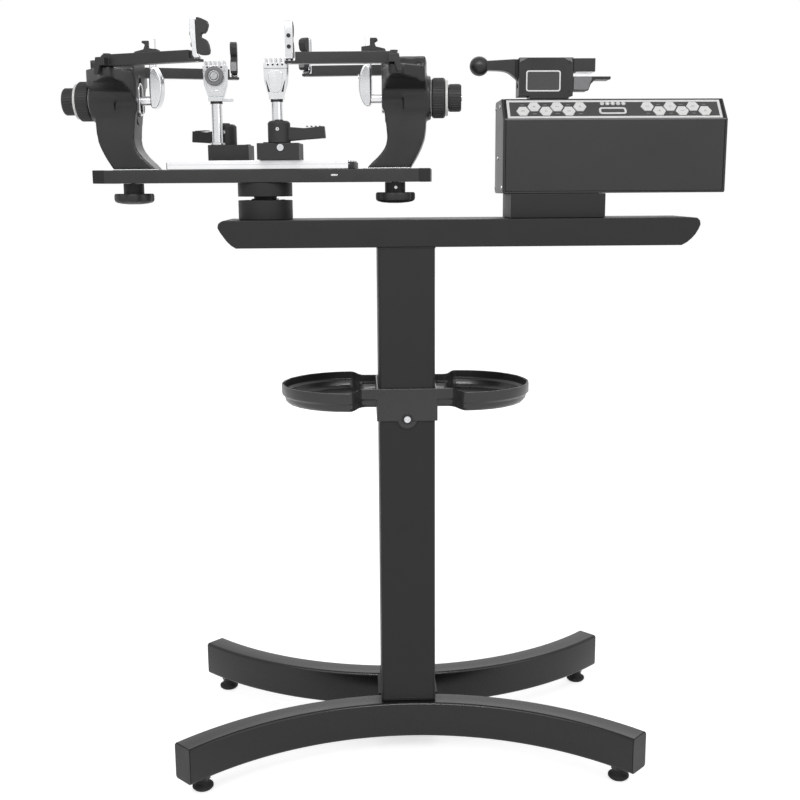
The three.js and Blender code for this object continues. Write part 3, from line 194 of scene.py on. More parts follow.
def linear(hex_colour: str) -> tuple[float, float, float, float]:
    """Turns an sRGB hex colour into linear values.

    Args:
        hex_colour: the colour as "#rrggbb".

    Returns:
        Red, green, blue and an alpha of 1.
    """
    parts = [int(hex_colour[i:i + 2], 16) / 255 for i in (1, 3, 5)]
    red, green, blue = (p / 12.92 if p <= 0.04045 else ((p + 0.055) / 1.055) ** 2.4 for p in parts)
    return red, green, blue, 1.0


def add_node(tree: bpy.types.NodeTree, kind: str, sockets: dict[Any, Any] | None = None,
             **settings: Any) -> bpy.types.Node:
    """Adds a node with its settings, values and links.

    Args:
        tree: the tree that gets the node.
        kind: the node's type name.
        sockets: input name or number to a value, or to the output that feeds it.
        settings: the node's own properties.

    Returns:
        The new node.
    """
    node = tree.nodes.new(kind)
    for key, value in settings.items():
        setattr(node, key, value)
    for key, value in (sockets or {}).items():
        if isinstance(value, bpy.types.NodeSocket):
            tree.links.new(value, node.inputs[key])
        else:
            node.inputs[key].default_value = value
    return node

def bare_tree(owner: Any) -> bpy.types.NodeTree:
    """Gives the empty node tree of a material or a world."""
    owner.use_nodes = True
    owner.node_tree.nodes.clear()
    return owner.node_tree


class Paintbox:
    """Makes each finish's material once."""

    STRETCH = {Grain.BRUSHED: (0.04, 1.0, 1.0)}
    DETAIL = {Grain.SPRAYED: 1.0, Grain.CAST: 4.0, Grain.MOULDED: 2.0, Grain.BRUSHED: 3.0, Grain.PLAIN: 0.0}

    def __init__(self) -> None:
        """Starts with no material made."""
        self._made: dict[str, bpy.types.Material] = {}

    def get(self, finish: Finish) -> bpy.types.Material:
        """Gives the material of a finish, made on first use."""
        if finish.name not in self._made:
            self._made[finish.name] = self._make(finish)
        return self._made[finish.name]

    def _make(self, finish: Finish) -> bpy.types.Material:
        """Builds the node tree of a finish.

        Args:
            finish: the real material's values.

        Returns:
            The material.
        """
        material = bpy.data.materials.new(finish.name)
        tree = bare_tree(material)
        place = add_node(tree, "ShaderNodeTexCoord").outputs["Object"]
        patches = add_node(tree, "ShaderNodeTexNoise", {
            "Vector": place, "Scale": 1 / (finish.patch_mm * MM), "Detail": 3.0, "Roughness": 0.6})
        tone = add_node(tree, "ShaderNodeMix", {
            0: patches.outputs["Fac"], 6: linear(finish.colour), 7: linear(finish.shade)},
            data_type="RGBA")
        low, high = finish.roughness
        gloss = add_node(tree, "ShaderNodeMapRange", {
            "Value": patches.outputs["Fac"], "From Min": 0.3, "From Max": 0.7, "To Min": low, "To Max": high})
        shader = add_node(tree, "ShaderNodeBsdfPrincipled", {
            "Base Color": tone.outputs[2], "Roughness": gloss.outputs["Result"],
            "Metallic": finish.metallic, "Coat Weight": finish.coat,
            "Specular IOR Level": finish.specular})
        if finish.relief_mm:
            stretched = add_node(tree, "ShaderNodeMapping", {
                "Vector": place, "Scale": self.STRETCH.get(finish.grain, (1.0, 1.0, 1.0))})
            relief = add_node(tree, "ShaderNodeTexNoise", {
                "Vector": stretched.outputs["Vector"], "Scale": 1 / (finish.grain_mm * MM),
                "Detail": self.DETAIL[finish.grain], "Roughness": 0.55})
            bump = add_node(tree, "ShaderNodeBump", {
                "Height": relief.outputs["Fac"], "Distance": finish.relief_mm * MM, "Strength": 1.0})
            tree.links.new(bump.outputs["Normal"], shader.inputs["Normal"])
        add_node(tree, "ShaderNodeOutputMaterial", {"Surface": shader.outputs["BSDF"]})
        return material


# Making meshes


class Axis(Enum):
    """The direction in which an outline is carried. The outline's two values lie on the other axes."""

    X = "x"
    Y = "y"
    Z = "z"

    def point(self, first: float, second: float, along: float) -> Point:
        """Puts an outline's two values and the distance along the axis in X, Y, Z order."""
        if self is Axis.X:
            return along, first, second
        if self is Axis.Y:
            return first, along, second
        return first, second, along


def rounded(half: Place, radius: float, centre: Place = (0, 0), steps: int = 5) -> list[Place]:
    """Gives the corners of a rounded rectangle.

    Args:
        half: its half sizes.
        radius: of its corners.
        centre: its middle.
        steps: facets of each corner.

    Returns:
        The outline, counter-clockwise.
    """
    points = []
    for quarter, (sx, sy) in enumerate([(1, 1), (-1, 1), (-1, -1), (1, -1)]):
        for step in range(steps + 1):
            turn = math.pi / 2 * (quarter + step / steps)
            points.append((centre[0] + sx * (half[0] - radius) + radius * math.cos(turn),
                           centre[1] + sy * (half[1] - radius) + radius * math.sin(turn)))
    return points


def eased(points: Outline, rounds: int = 2) -> list[Place]:
    """Cuts the corners of a closed outline, each round by a quarter of its sides."""
    line = list(points)
    for _ in range(rounds):
        line = [(a[0] + (b[0] - a[0]) * share, a[1] + (b[1] - a[1]) * share)
                for a, b in zip(line, line[1:] + line[:1]) for share in (0.25, 0.75)]
    return line


def hexagon(radius: float, centre: Place) -> list[Place]:
    """Gives a hexagon's corners."""
    return [(centre[0] + radius * math.cos(math.pi / 3 * corner),
             centre[1] + radius * math.sin(math.pi / 3 * corner)) for corner in range(6)]


def link_new(name: str, data: Any) -> bpy.types.Object:
    """Makes an object for a mesh, lamp or camera in the scene."""
    item = bpy.data.objects.new(name, data)
    bpy.context.scene.collection.objects.link(item)
    return item


class Shape:
    """A mesh in the making, in millimetres in its maker's own frame."""

    def __init__(self) -> None:
        """Starts empty."""
        self.bm = bmesh.new()

    def stack(self, axis: Axis, layers: Sequence[tuple[Outline, float]]) -> "Shape":
        """Adds a body whose outline changes along an axis.

        Args:
            axis: the direction.
            layers: outlines with the same number of corners, each with its distance along the axis.

        Returns:
            The same shape.
        """
        rings = self._corners(axis, layers)
        self._close(rings)
        self._wall(rings)
        return self

    def prism(self, axis: Axis, outline: Outline, span: Span) -> "Shape":
        """Adds an outline carried along an axis, from one distance to another."""
        return self.stack(axis, [(outline, end) for end in span])

    def slab(self, low: Point, high: Point) -> "Shape":
        """Adds a box between two corners."""
        outline = [(low[0], low[1]), (high[0], low[1]), (high[0], high[1]), (low[0], high[1])]
        return self.prism(Axis.Z, outline, (low[2], high[2]))

    def lathe(self, axis: Axis, profile: Outline, centre: Place = (0, 0), steps: int = 48) -> "Shape":
        """Adds a turned piece.

        Args:
            axis: the axis of turning.
            profile: radius and distance along the axis, from one end to the other.
            centre: where the axis passes, on the other two axes.
            steps: facets round the axis.

        Returns:
            The same shape.
        """
        rings = self._circles(axis, profile, centre, steps)
        self._wall(rings)
        self._close(rings)
        return self

    def ring(self, axis: Axis, profile: Outline, centre: Place = (0, 0), steps: int = 48) -> "Shape":
        """Adds a turned piece with an open middle, from a closed profile of radius and distance."""
        rings = self._circles(axis, profile, centre, steps)
        self._wall(rings + rings[:1])
        return self

    def washer(self, axis: Axis, radii: Span, span: Span, centre: Place = (0, 0), steps: int = 48) -> "Shape":
        """Adds a flat ring between two radii."""
        (inner, outer), (low, high) = radii, span
        return self.ring(axis, [(inner, low), (outer, low), (outer, high), (inner, high)], centre, steps)

    def band(self, axis: Axis, outer: Outline, inner: Outline, span: Span) -> "Shape":
        """Adds a flat frame: the part between two outlines with the same number of corners."""
        low, high = span
        rings = self._corners(axis, [(outer, low), (inner, low), (inner, high), (outer, high)])
        self._wall(rings + rings[:1])
        return self

    def _corners(self, axis: Axis, layers: Sequence[tuple[Outline, float]]) -> list[list[Any]]:
        """Sets the corners of outlines, each at its distance along the axis."""
        return [[self.bm.verts.new(axis.point(a, b, along)) for a, b in outline] for outline, along in layers]

    def _circles(self, axis: Axis, profile: Outline, centre: Place, steps: int) -> list[list[Any]]:
        """Sets a circle of points for each radius and distance, or one point where the radius is 0."""
        rings = []
        for radius, along in profile:
            turns = (2 * math.pi * step / steps for step in range(steps if radius > 0 else 1))
            rings.append([self.bm.verts.new(axis.point(
                centre[0] + radius * math.cos(t), centre[1] + radius * math.sin(t), along)) for t in turns])
        return rings

    def _wall(self, rings: list[list[Any]]) -> None:
        """Joins each ring of points to the next. Either may be a single point."""
        for one, two in zip(rings, rings[1:]):
            steps = max(len(one), len(two))
            for i in range(steps):
                j = (i + 1) % steps
                corners = [one[0]] if len(one) == 1 else [one[i], one[j]]
                corners += [two[0]] if len(two) == 1 else [two[j], two[i]]
                if len(corners) > 2:
                    self.bm.faces.new(corners)

    def _close(self, rings: list[list[Any]]) -> None:
        """Fills the first and the last ring."""
        for end in (rings[0], rings[-1]):
            if len(end) > 1:
                self.bm.faces.new(end)

    def emit(self, name: str, place: Matrix) -> bpy.types.Object:
        """Makes the object, which stays at the origin, with its place in its mesh.

        Args:
            name: the piece's name.
            place: the maker's frame in the row frame, in metres.

        Returns:
            The object.
        """
        self.bm.transform(place @ Matrix.Scale(MM, 4))
        bmesh.ops.recalc_face_normals(self.bm, faces=self.bm.faces)
        mesh = bpy.data.meshes.new(name)
        self.bm.to_mesh(mesh)
        self.bm.free()
        return link_new(name, mesh)


def settle(item: bpy.types.Object) -> None:
    """Turns an object's live modifiers into its plain mesh."""
    bpy.context.view_layer.update()
    evaluated = item.evaluated_get(bpy.context.evaluated_depsgraph_get())
    mesh = bpy.data.meshes.new_from_object(evaluated)
    old = item.data
    item.modifiers.clear()
    item.data = mesh
    mesh.name = item.name
    bpy.data.meshes.remove(old)


def soften(item: bpy.types.Object, width_mm: float, segments: int = 2) -> None:
    """Rounds the sharp edges of an object and evens its shading.

    Args:
        item: the object.
        width_mm: the width of the rounding, or 0 for even shading alone.
        segments: facets across it.
    """
    item.data.shade_smooth()
    if width_mm > 0:
        bevel = item.modifiers.new("Bevel", "BEVEL")
        bevel.width = width_mm * MM
        bevel.segments = segments
        bevel.limit_method = "ANGLE"
        bevel.angle_limit = SHARP_ANGLE
        bevel.use_clamp_overlap = False
        bevel.miter_outer = "MITER_ARC"
    else:
        item.data.set_sharp_from_angle(angle=SHARP_ANGLE)
    weight = item.modifiers.new("Weight", "WEIGHTED_NORMAL")
    weight.keep_sharp = True
    settle(item)


# Pieces that node trees make


class NodeMaker:
    """Makes pieces by a node tree that is built once."""

    NAME = ""
    # each input's name and the kind of its socket; the first is the mesh that comes in
    SOCKETS: dict[str, str] = {}

    def __init__(self, paints: Paintbox) -> None:
        """Builds the tree: the inputs, what the class grows from them, and its finish."""
        self.paints = paints
        self.tree = bpy.data.node_groups.new(self.NAME, "GeometryNodeTree")
        face = self.tree.interface
        self.inputs = {name: face.new_socket(name, in_out="INPUT", socket_type=f"NodeSocket{kind}").identifier
                       for name, kind in {**self.SOCKETS, "Finish": "Material"}.items()}
        face.new_socket("Piece", in_out="OUTPUT", socket_type="NodeSocketGeometry")
        given = add_node(self.tree, "NodeGroupInput").outputs
        painted = add_node(self.tree, "GeometryNodeSetMaterial", {
            "Geometry": self.grow(given), "Material": given["Finish"]})
        add_node(self.tree, "NodeGroupOutput", {"Piece": painted.outputs[0]})

    def grow(self, given: Any) -> bpy.types.NodeSocket:
        """Builds the nodes between the inputs and the finish, and gives their last output."""
        raise NotImplementedError

    def make(self, name: str, place: Matrix, finish: Finish, values: dict[str, Any],
             points: Sequence[Point] = (), sharp_angle: float = 0.0) -> bpy.types.Object:
        """Makes a piece.

        Args:
            name: the piece's name.
            place: the frame of the piece in the row frame.
            finish: what it is made of.
            values: the tree's inputs, lengths in metres.
            points: the points that come in, in millimetres.
            sharp_angle: edges up to this many degrees look smooth, and at 0 none does.

        Returns:
            The piece, with its finish.
        """
        mesh = bpy.data.meshes.new(name)
        mesh.from_pydata([tuple(c * MM for c in point) for point in points], [], [])
        item = link_new(name, mesh)
        maker = item.modifiers.new(self.NAME, "NODES")
        maker.node_group = self.tree
        for label, value in {**values, "Finish": self.paints.get(finish)}.items():
            maker[self.inputs[label]] = value
        settle(item)
        item.data.transform(place)
        if place.determinant() < 0:
            item.data.flip_normals()
        if sharp_angle:
            item.data.shade_smooth()
            item.data.set_sharp_from_angle(angle=math.radians(sharp_angle))
        else:
            item.data.shade_flat()
        return item


class ScrewDriver(NodeMaker):
    """Sets a screw with a hexagonal socket on each point."""

    NAME = "set_screws"
    SOCKETS = {"Points": "Geometry", "Head Radius": "Float", "Head Height": "Float",
               "Socket Radius": "Float", "Socket Depth": "Float", "Facing": "Vector"}
    HEAD_SIDES = 28

    def _lifted(self, sides: int, radius: Any, depth: Any, height: Any) -> bpy.types.NodeSocket:
        """Adds a bar with so many sides, raised along its axis."""
        bar = add_node(self.tree, "GeometryNodeMeshCylinder", {
            "Vertices": sides, "Radius": radius, "Depth": depth})
        rise = add_node(self.tree, "ShaderNodeCombineXYZ", {"Z": height})
        return add_node(self.tree, "GeometryNodeTransform", {
            "Geometry": bar.outputs["Mesh"], "Translation": rise.outputs[0]}).outputs[0]

    def grow(self, given: Any) -> bpy.types.NodeSocket:
        """Builds a head less its socket, on each point, facing along the given direction."""
        half = add_node(self.tree, "ShaderNodeMath", {0: given["Head Height"], 1: 0.5}, operation="MULTIPLY")
        head = self._lifted(self.HEAD_SIDES, given["Head Radius"], given["Head Height"], half.outputs[0])
        tool = self._lifted(6, given["Socket Radius"], given["Socket Depth"], given["Head Height"])
        screw = add_node(self.tree, "GeometryNodeMeshBoolean", {"Mesh 1": head, "Mesh 2": tool},
                         operation="DIFFERENCE")
        along = add_node(self.tree, "FunctionNodeAlignRotationToVector", {
            "Vector": given["Facing"]}, axis="Z")
        put = add_node(self.tree, "GeometryNodeInstanceOnPoints", {
            "Points": given["Points"], "Instance": screw.outputs["Mesh"], "Rotation": along.outputs[0]})
        return add_node(self.tree, "GeometryNodeRealizeInstances", {"Geometry": put.outputs[0]}).outputs[0]


class KnurlCutter(NodeMaker):
    """Puts ribs round a turned grip, on a circle about the X axis."""

    NAME = "cut_knurl"
    SOCKETS = {"Seed": "Geometry", "Count": "Int", "Ring Radius": "Float", "Rib Radius": "Float",
               "Rib Length": "Float", "Along": "Float"}
    TO_X = (0.0, math.pi / 2, 0.0)
    RIB_SIDES = 8

    def grow(self, given: Any) -> bpy.types.NodeSocket:
        """Builds a rib on each point of the circle."""
        circle = add_node(self.tree, "GeometryNodeMeshCircle", {
            "Vertices": given["Count"], "Radius": given["Ring Radius"]})
        upright = add_node(self.tree, "GeometryNodeTransform", {
            "Geometry": circle.outputs["Mesh"], "Rotation": self.TO_X})
        shift = add_node(self.tree, "ShaderNodeCombineXYZ", {"X": given["Along"]})
        placed = add_node(self.tree, "GeometryNodeTransform", {
            "Geometry": upright.outputs[0], "Translation": shift.outputs[0]})
        rib = add_node(self.tree, "GeometryNodeMeshCylinder", {
            "Vertices": self.RIB_SIDES, "Radius": given["Rib Radius"], "Depth": given["Rib Length"]})
        put = add_node(self.tree, "GeometryNodeInstanceOnPoints", {
            "Points": placed.outputs[0], "Instance": rib.outputs["Mesh"], "Rotation": self.TO_X})
        return add_node(self.tree, "GeometryNodeRealizeInstances", {"Geometry": put.outputs[0]}).outputs[0]


class TubeBender(NodeMaker):
    """Sweeps a rounded section along an arc."""

    NAME = "bend_tube"
    SOCKETS = {"Seed": "Geometry", "Bend Radius": "Float", "Half Angle": "Float", "Width": "Float",
               "Height": "Float", "Corner": "Float"}
    ARC_POINTS = 81
    CORNER_POINTS = 5

    def grow(self, given: Any) -> bpy.types.NodeSocket:
        """Builds the arc, the section and the tube, closed at its ends."""
        start = add_node(self.tree, "ShaderNodeMath", {0: math.pi / 2, 1: given["Half Angle"]},
                         operation="SUBTRACT")
        sweep = add_node(self.tree, "ShaderNodeMath", {0: given["Half Angle"], 1: 2.0}, operation="MULTIPLY")
        arc = add_node(self.tree, "GeometryNodeCurveArc", {
            "Resolution": self.ARC_POINTS, "Radius": given["Bend Radius"], "Start Angle": start.outputs[0],
            "Sweep Angle": sweep.outputs[0]}, mode="RADIUS")
        section = add_node(self.tree, "GeometryNodeCurvePrimitiveQuadrilateral", {
            "Width": given["Width"], "Height": given["Height"]})
        eased_off = add_node(self.tree, "GeometryNodeFilletCurve", {
            "Curve": section.outputs[0], "Radius": given["Corner"], "Count": self.CORNER_POINTS}, mode="POLY")
        tube = add_node(self.tree, "GeometryNodeCurveToMesh", {
            "Curve": arc.outputs["Curve"], "Profile Curve": eased_off.outputs[0], "Fill Caps": True})
        return tube.outputs[0]


class Workshop:
    """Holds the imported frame, the paints and the tools, and attaches finished pieces to the frame."""

    JOIN_MM = 0.01
    FLAT_ANGLE = math.radians(0.6)

    def __init__(self, frame: dict[str, Any]) -> None:
        """Reads the nodes and bodies of the frame, and sets up the tools."""
        self.nodes = frame["nodes"]
        bodies = frame["record"]["behaviour"]["bodies"]
        self.body_of = {node: body for body, members in bodies.items() for node in members}
        self.paints = Paintbox()
        self.screws = ScrewDriver(self.paints)
        self.knurls = KnurlCutter(self.paints)

    def attach(self, item: bpy.types.Object, finish: Finish, body: str, replaces: Sequence[str] = ()) -> None:
        """Gives a piece its finish, unless it has one, and its body.

        Args:
            item: the piece.
            finish: what it is made of.
            body: the body that it rides on.
            replaces: solids that it stands for.
        """
        if not item.data.materials:
            item.data.materials.append(self.paints.get(finish))
        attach(item, body)
        if replaces:
            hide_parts(*replaces)
        LOG.info("%s rides on %s in %s", item.name, body, finish.name)

    def skin(self, node: str, finish: Finish, width_mm: float, merge_flats: bool) -> None:
        """Stands a copy of a solid, with rounded edges, in its place.

        Args:
            node: the solid's name.
            finish: what it is made of.
            width_mm: the width of the rounding, with plain flat faces at 0.
            merge_flats: whether flat faces lose their inner edges first.
        """
        item = self._copy(node, f"{node}_skin", merge_flats)
        if width_mm > 0:
            soften(item, width_mm)
        else:
            item.data.shade_flat()
        self.attach(item, finish, self.body_of[node], [node])

    def casting(self, node: str, finish: Finish, voxel_mm: float, passes: int) -> None:
        """Stands a copy of a solid with the soft edges of a casting in its place.

        Args:
            node: the solid's name.
            finish: what it is made of.
            voxel_mm: the step of the remesh.
            passes: how often the surface is eased.
        """
        item = self._copy(node, f"{node}_casting", True)
        remesh = item.modifiers.new("Remesh", "REMESH")
        remesh.mode = "VOXEL"
        remesh.voxel_size = voxel_mm * MM
        remesh.use_smooth_shade = True
        ease = item.modifiers.new("Ease", "SMOOTH")
        ease.factor = 0.5
        ease.iterations = passes
        settle(item)
        item.data.shade_smooth()
        self.attach(item, finish, self.body_of[node], [node])

    def _copy(self, node: str, name: str, merge_flats: bool) -> bpy.types.Object:
        """Copies a solid's mesh, with its loose triangles joined and its flats cleared of inner edges."""
        mesh = bpy.data.meshes.new(name)
        bm = bmesh.new()
        bm.from_mesh(self.nodes[node].data)
        bmesh.ops.remove_doubles(bm, verts=bm.verts, dist=self.JOIN_MM * MM)
        bmesh.ops.recalc_face_normals(bm, faces=bm.faces)
        if merge_flats:
            bmesh.ops.dissolve_limit(bm, angle_limit=self.FLAT_ANGLE, verts=bm.verts, edges=bm.edges)
        bm.to_mesh(mesh)
        bm.free()
        # the import's own normals no longer fit the joined corners
        if "custom_normal" in mesh.attributes:
            mesh.attributes.remove(mesh.attributes["custom_normal"])
        return link_new(name, mesh)


class Way(Enum):
    """A choice between two sides, with its sign as its value."""

    @property
    def word(self) -> str:
        """The word for it in the names of pieces and bodies."""
        return self.name.lower()

    def span(self, near: float, far: float) -> Span:
        """Gives two distances towards this side, the lower value first."""
        low, high = sorted((self.value * near, self.value * far))
        return low, high


class Side(Way):
    """A side of the turntable: its sign along the rail."""

    LEFT = -1
    RIGHT = 1


class Row(Way):
    """A row of the machine: its sign along Y."""

    FRONT = -1
    REAR = 1


def move(x: float = 0.0, y: float = 0.0, z: float = 0.0) -> Matrix:
    """A shift in millimetres as a matrix in metres."""
    return Matrix.Translation((x * MM, y * MM, z * MM))


def turn_z(degrees: float) -> Matrix:
    """A turn about the vertical."""
    return Matrix.Rotation(math.radians(degrees), 4, "Z")


@dataclass(frozen=True)
class Layout:
    """Where the machine's own frames lie in the row frame. Places are in millimetres."""

    machine: Matrix
    table: Matrix

    AXIS_MM = -198.0
    TURN = -5.0
    POSTS = {Side.LEFT: 189.0, Side.RIGHT: 185.0}
    PIVOT_ALONG = 6.0
    PIVOT_ACROSS = 80.0
    SPLAY = {Side.LEFT: 18.0, Side.RIGHT: 2.0}
    PIN_REACH = 139.3
    SWIVEL = {(Row.FRONT, Side.LEFT): 15.0, (Row.FRONT, Side.RIGHT): -90.0,
              (Row.REAR, Side.LEFT): -100.0, (Row.REAR, Side.RIGHT): 75.0}
    # each clamp: its row, the clamp's place, the lever's place and turn
    CLAMPS = {Side.LEFT: (Row.REAR, -68.0, -61.0, 147.0), Side.RIGHT: (Row.FRONT, 22.0, 28.0, 0.0)}
    CLAMP_ACROSS = 12.5
    LEVER_ACROSS = 37.0
    # the panel's frame: X along the machine, Y up the slope, Z out of the panel
    PANEL_FOOT = (291.5, -45.0, 924.0)
    PANEL_ANGLE = math.atan2(30.0, 26.0)

    @classmethod
    def read(cls) -> "Layout":
        """Finds the frames from the turntable bearing, which stands on the table's axis."""
        low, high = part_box("turntable_base")
        axis = (low.x + high.x) / 2
        machine = Matrix.Translation((axis - cls.AXIS_MM * MM, 0, 0))
        return cls(machine, Matrix.Translation((axis, 0, 0)) @ turn_z(cls.TURN))

    def post(self, side: Side) -> Matrix:
        """The frame of a racket post: X outwards from its stud, mirrored for the left one."""
        return self.table @ move(side.value * self.POSTS[side]) @ Matrix.Diagonal((side.value, 1, 1, 1))

    def _pivot(self, row: Row, side: Side) -> Matrix:
        """The frame of an arm's pivot at rest, swung with the arm."""
        return (self.table @ move(side.value * self.POSTS[side])
                @ move(side.value * self.PIVOT_ALONG, row.value * self.PIVOT_ACROSS)
                @ turn_z(-side.value * row.value * self.SPLAY[side]))

    def arm(self, row: Row, side: Side) -> Matrix:
        """The frame of an arm at rest: its pivot, with X towards the arm's tip."""
        return self._pivot(row, side) @ Matrix.Diagonal((-side.value, 1, 1, 1))

    def cradle(self, row: Row, side: Side) -> Matrix:
        """The frame of a shoulder support at rest: its pin, with X towards its jaw."""
        along = 0.0 if side is Side.LEFT else 180.0
        return (self._pivot(row, side) @ move(-side.value * self.PIN_REACH)
                @ turn_z(along + self.SWIVEL[row, side]))

    def clamp(self, side: Side) -> Matrix:
        """The frame of a string clamp at rest: its post, with Y towards its back."""
        row, place, _, _ = self.CLAMPS[side]
        return self.table @ move(place, row.value * self.CLAMP_ACROSS) @ turn_z(0 if row is Row.REAR else 180)

    def cam_lever(self, side: Side) -> Matrix:
        """The frame of a cam lever at rest: its pin, with X along its handle."""
        row, _, place, turn = self.CLAMPS[side]
        return self.table @ move(place, row.value * self.LEVER_ACROSS) @ turn_z(turn)

    def panel(self) -> Matrix:
        """The frame of the slanted control panel."""
        return self.machine @ move(*self.PANEL_FOOT) @ Matrix.Rotation(self.PANEL_ANGLE, 4, "X")


# The machine, one class for each sub-assembly


class Studio:
    """Floor, lamps, backdrop and camera."""

    CAMERA_MM = (-65.06, -1605.92, 833.97)
    YAW = math.radians(2.03)
    PITCH = math.radians(10.89)
    ROLL = math.radians(0.361)
    FOCAL_PX = 1105.6
    FRAME_PX = 800
    SENSOR_MM = 36.0
    CLIP_M = 50
    FLOOR_M = 9.0
    # what the floor gains for the eye, so that it shows white under the lamps and keeps its shadow
    FLOOR_LIFT = 0.66
    # each lamp: its place, width and height in metres, its power in watts, and whether only gloss shows it
    LAMPS = {
        "key_lamp": ((-1.8, -2.6, 2.9), (2.2, 2.2), 34.0, False),
        "fill_lamp": ((2.6, -2.2, 1.9), (2.4, 2.4), 20.0, False),
        "rim_lamp": ((0.4, 2.6, 2.8), (2.0, 2.0), 20.0, False),
        "strip_lamp": ((0.1, -2.1, 2.5), (1.8, 0.3), 50.0, True),
    }
    # the point in metres that the lamps face
    TARGET = (0, 0, 0.7)
    SKY = 0.42

    def __init__(self, layout: Layout) -> None:
        """Keeps the layout."""
        self.layout = layout

    def camera(self) -> None:
        """Places the camera at the photograph's viewing point."""
        along, aside = math.cos(self.YAW), math.sin(self.YAW)
        flat, down = math.cos(self.PITCH), math.sin(self.PITCH)
        forward = Vector((aside * flat, along * flat, -down))
        level = Vector((along, -aside, 0))
        up = level.cross(forward)
        right = math.cos(self.ROLL) * level - math.sin(self.ROLL) * up
        top = math.sin(self.ROLL) * level + math.cos(self.ROLL) * up
        data = bpy.data.cameras.new("portrait")
        data.sensor_width = self.SENSOR_MM
        data.lens = self.FOCAL_PX / self.FRAME_PX * self.SENSOR_MM
        data.clip_end = self.CLIP_M
        item = link_new("portrait", data)
        turn = Matrix((right, top, -forward)).transposed().to_4x4()
        item.matrix_world = Matrix.Translation(self.layout.machine @ (Vector(self.CAMERA_MM) * MM)) @ turn
        bpy.context.scene.camera = item

    def floor(self) -> None:
        """Lays a pale floor under the machine."""
        mesh = bpy.data.meshes.new("floor")
        half = self.FLOOR_M
        corners = [(-half, -half, 0), (half, -half, 0), (half, half, 0), (-half, half, 0)]
        mesh.from_pydata(corners, [], [(0, 1, 2, 3)])
        item = link_new("floor", mesh)
        material = bpy.data.materials.new("pale_floor")
        tree = bare_tree(material)
        sheet = add_node(tree, "ShaderNodeBsdfDiffuse", {"Color": linear("#f4f4f4")})
        seen = self._seen(tree)
        lift = add_node(tree, "ShaderNodeEmission", {"Color": (1, 1, 1, 1), "Strength": self.FLOOR_LIFT})
        bright = add_node(tree, "ShaderNodeAddShader", {
            0: sheet.outputs["BSDF"], 1: lift.outputs["Emission"]})
        mix = add_node(tree, "ShaderNodeMixShader", {0: seen, 1: sheet.outputs["BSDF"], 2: bright.outputs[0]})
        add_node(tree, "ShaderNodeOutputMaterial", {"Surface": mix.outputs[0]})
        mesh.materials.append(material)

    def lamps(self) -> None:
        """Hangs three soft lamps round the machine and a bright strip over the camera."""
        target = Vector(self.TARGET)
        for name, (place, size, power, gloss_only) in self.LAMPS.items():
            data = bpy.data.lights.new(name, "AREA")
            data.shape = "RECTANGLE"
            data.size, data.size_y = size
            data.energy = power
            item = link_new(name, data)
            item.location = place
            item.visible_diffuse = not gloss_only
            item.rotation_euler = (target - Vector(place)).to_track_quat("-Z", "Y").to_euler()

    @staticmethod
    def _seen(tree: bpy.types.NodeTree) -> bpy.types.NodeSocket:
        """Tells rays of the eye, of mirror images and of glass from the rays that light the machine."""
        path = add_node(tree, "ShaderNodeLightPath")
        seen = add_node(tree, "ShaderNodeMath", {
            0: path.outputs["Is Camera Ray"], 1: path.outputs["Is Glossy Ray"]}, operation="MAXIMUM")
        through = add_node(tree, "ShaderNodeMath", {
            0: seen.outputs[0], 1: path.outputs["Is Transmission Ray"]}, operation="MAXIMUM")
        return through.outputs[0]

    def backdrop(self) -> None:
        """Makes the world white to the eye and softer as a lamp."""
        world = bpy.data.worlds.new("studio")
        bpy.context.scene.world = world
        tree = bare_tree(world)
        dim = add_node(tree, "ShaderNodeBackground", {"Color": (1, 1, 1, 1), "Strength": self.SKY})
        white = add_node(tree, "ShaderNodeBackground", {"Color": (1, 1, 1, 1), "Strength": 1.0})
        mix = add_node(tree, "ShaderNodeMixShader", {
            0: self._seen(tree), 1: dim.outputs[0], 2: white.outputs[0]})
        add_node(tree, "ShaderNodeOutputWorld", {"Surface": mix.outputs[0]})

    def build(self) -> None:
        """Sets the whole studio."""
        self.camera()
        self.floor()
        self.lamps()
        self.backdrop()
        bpy.context.scene.view_settings.view_transform = "Standard"


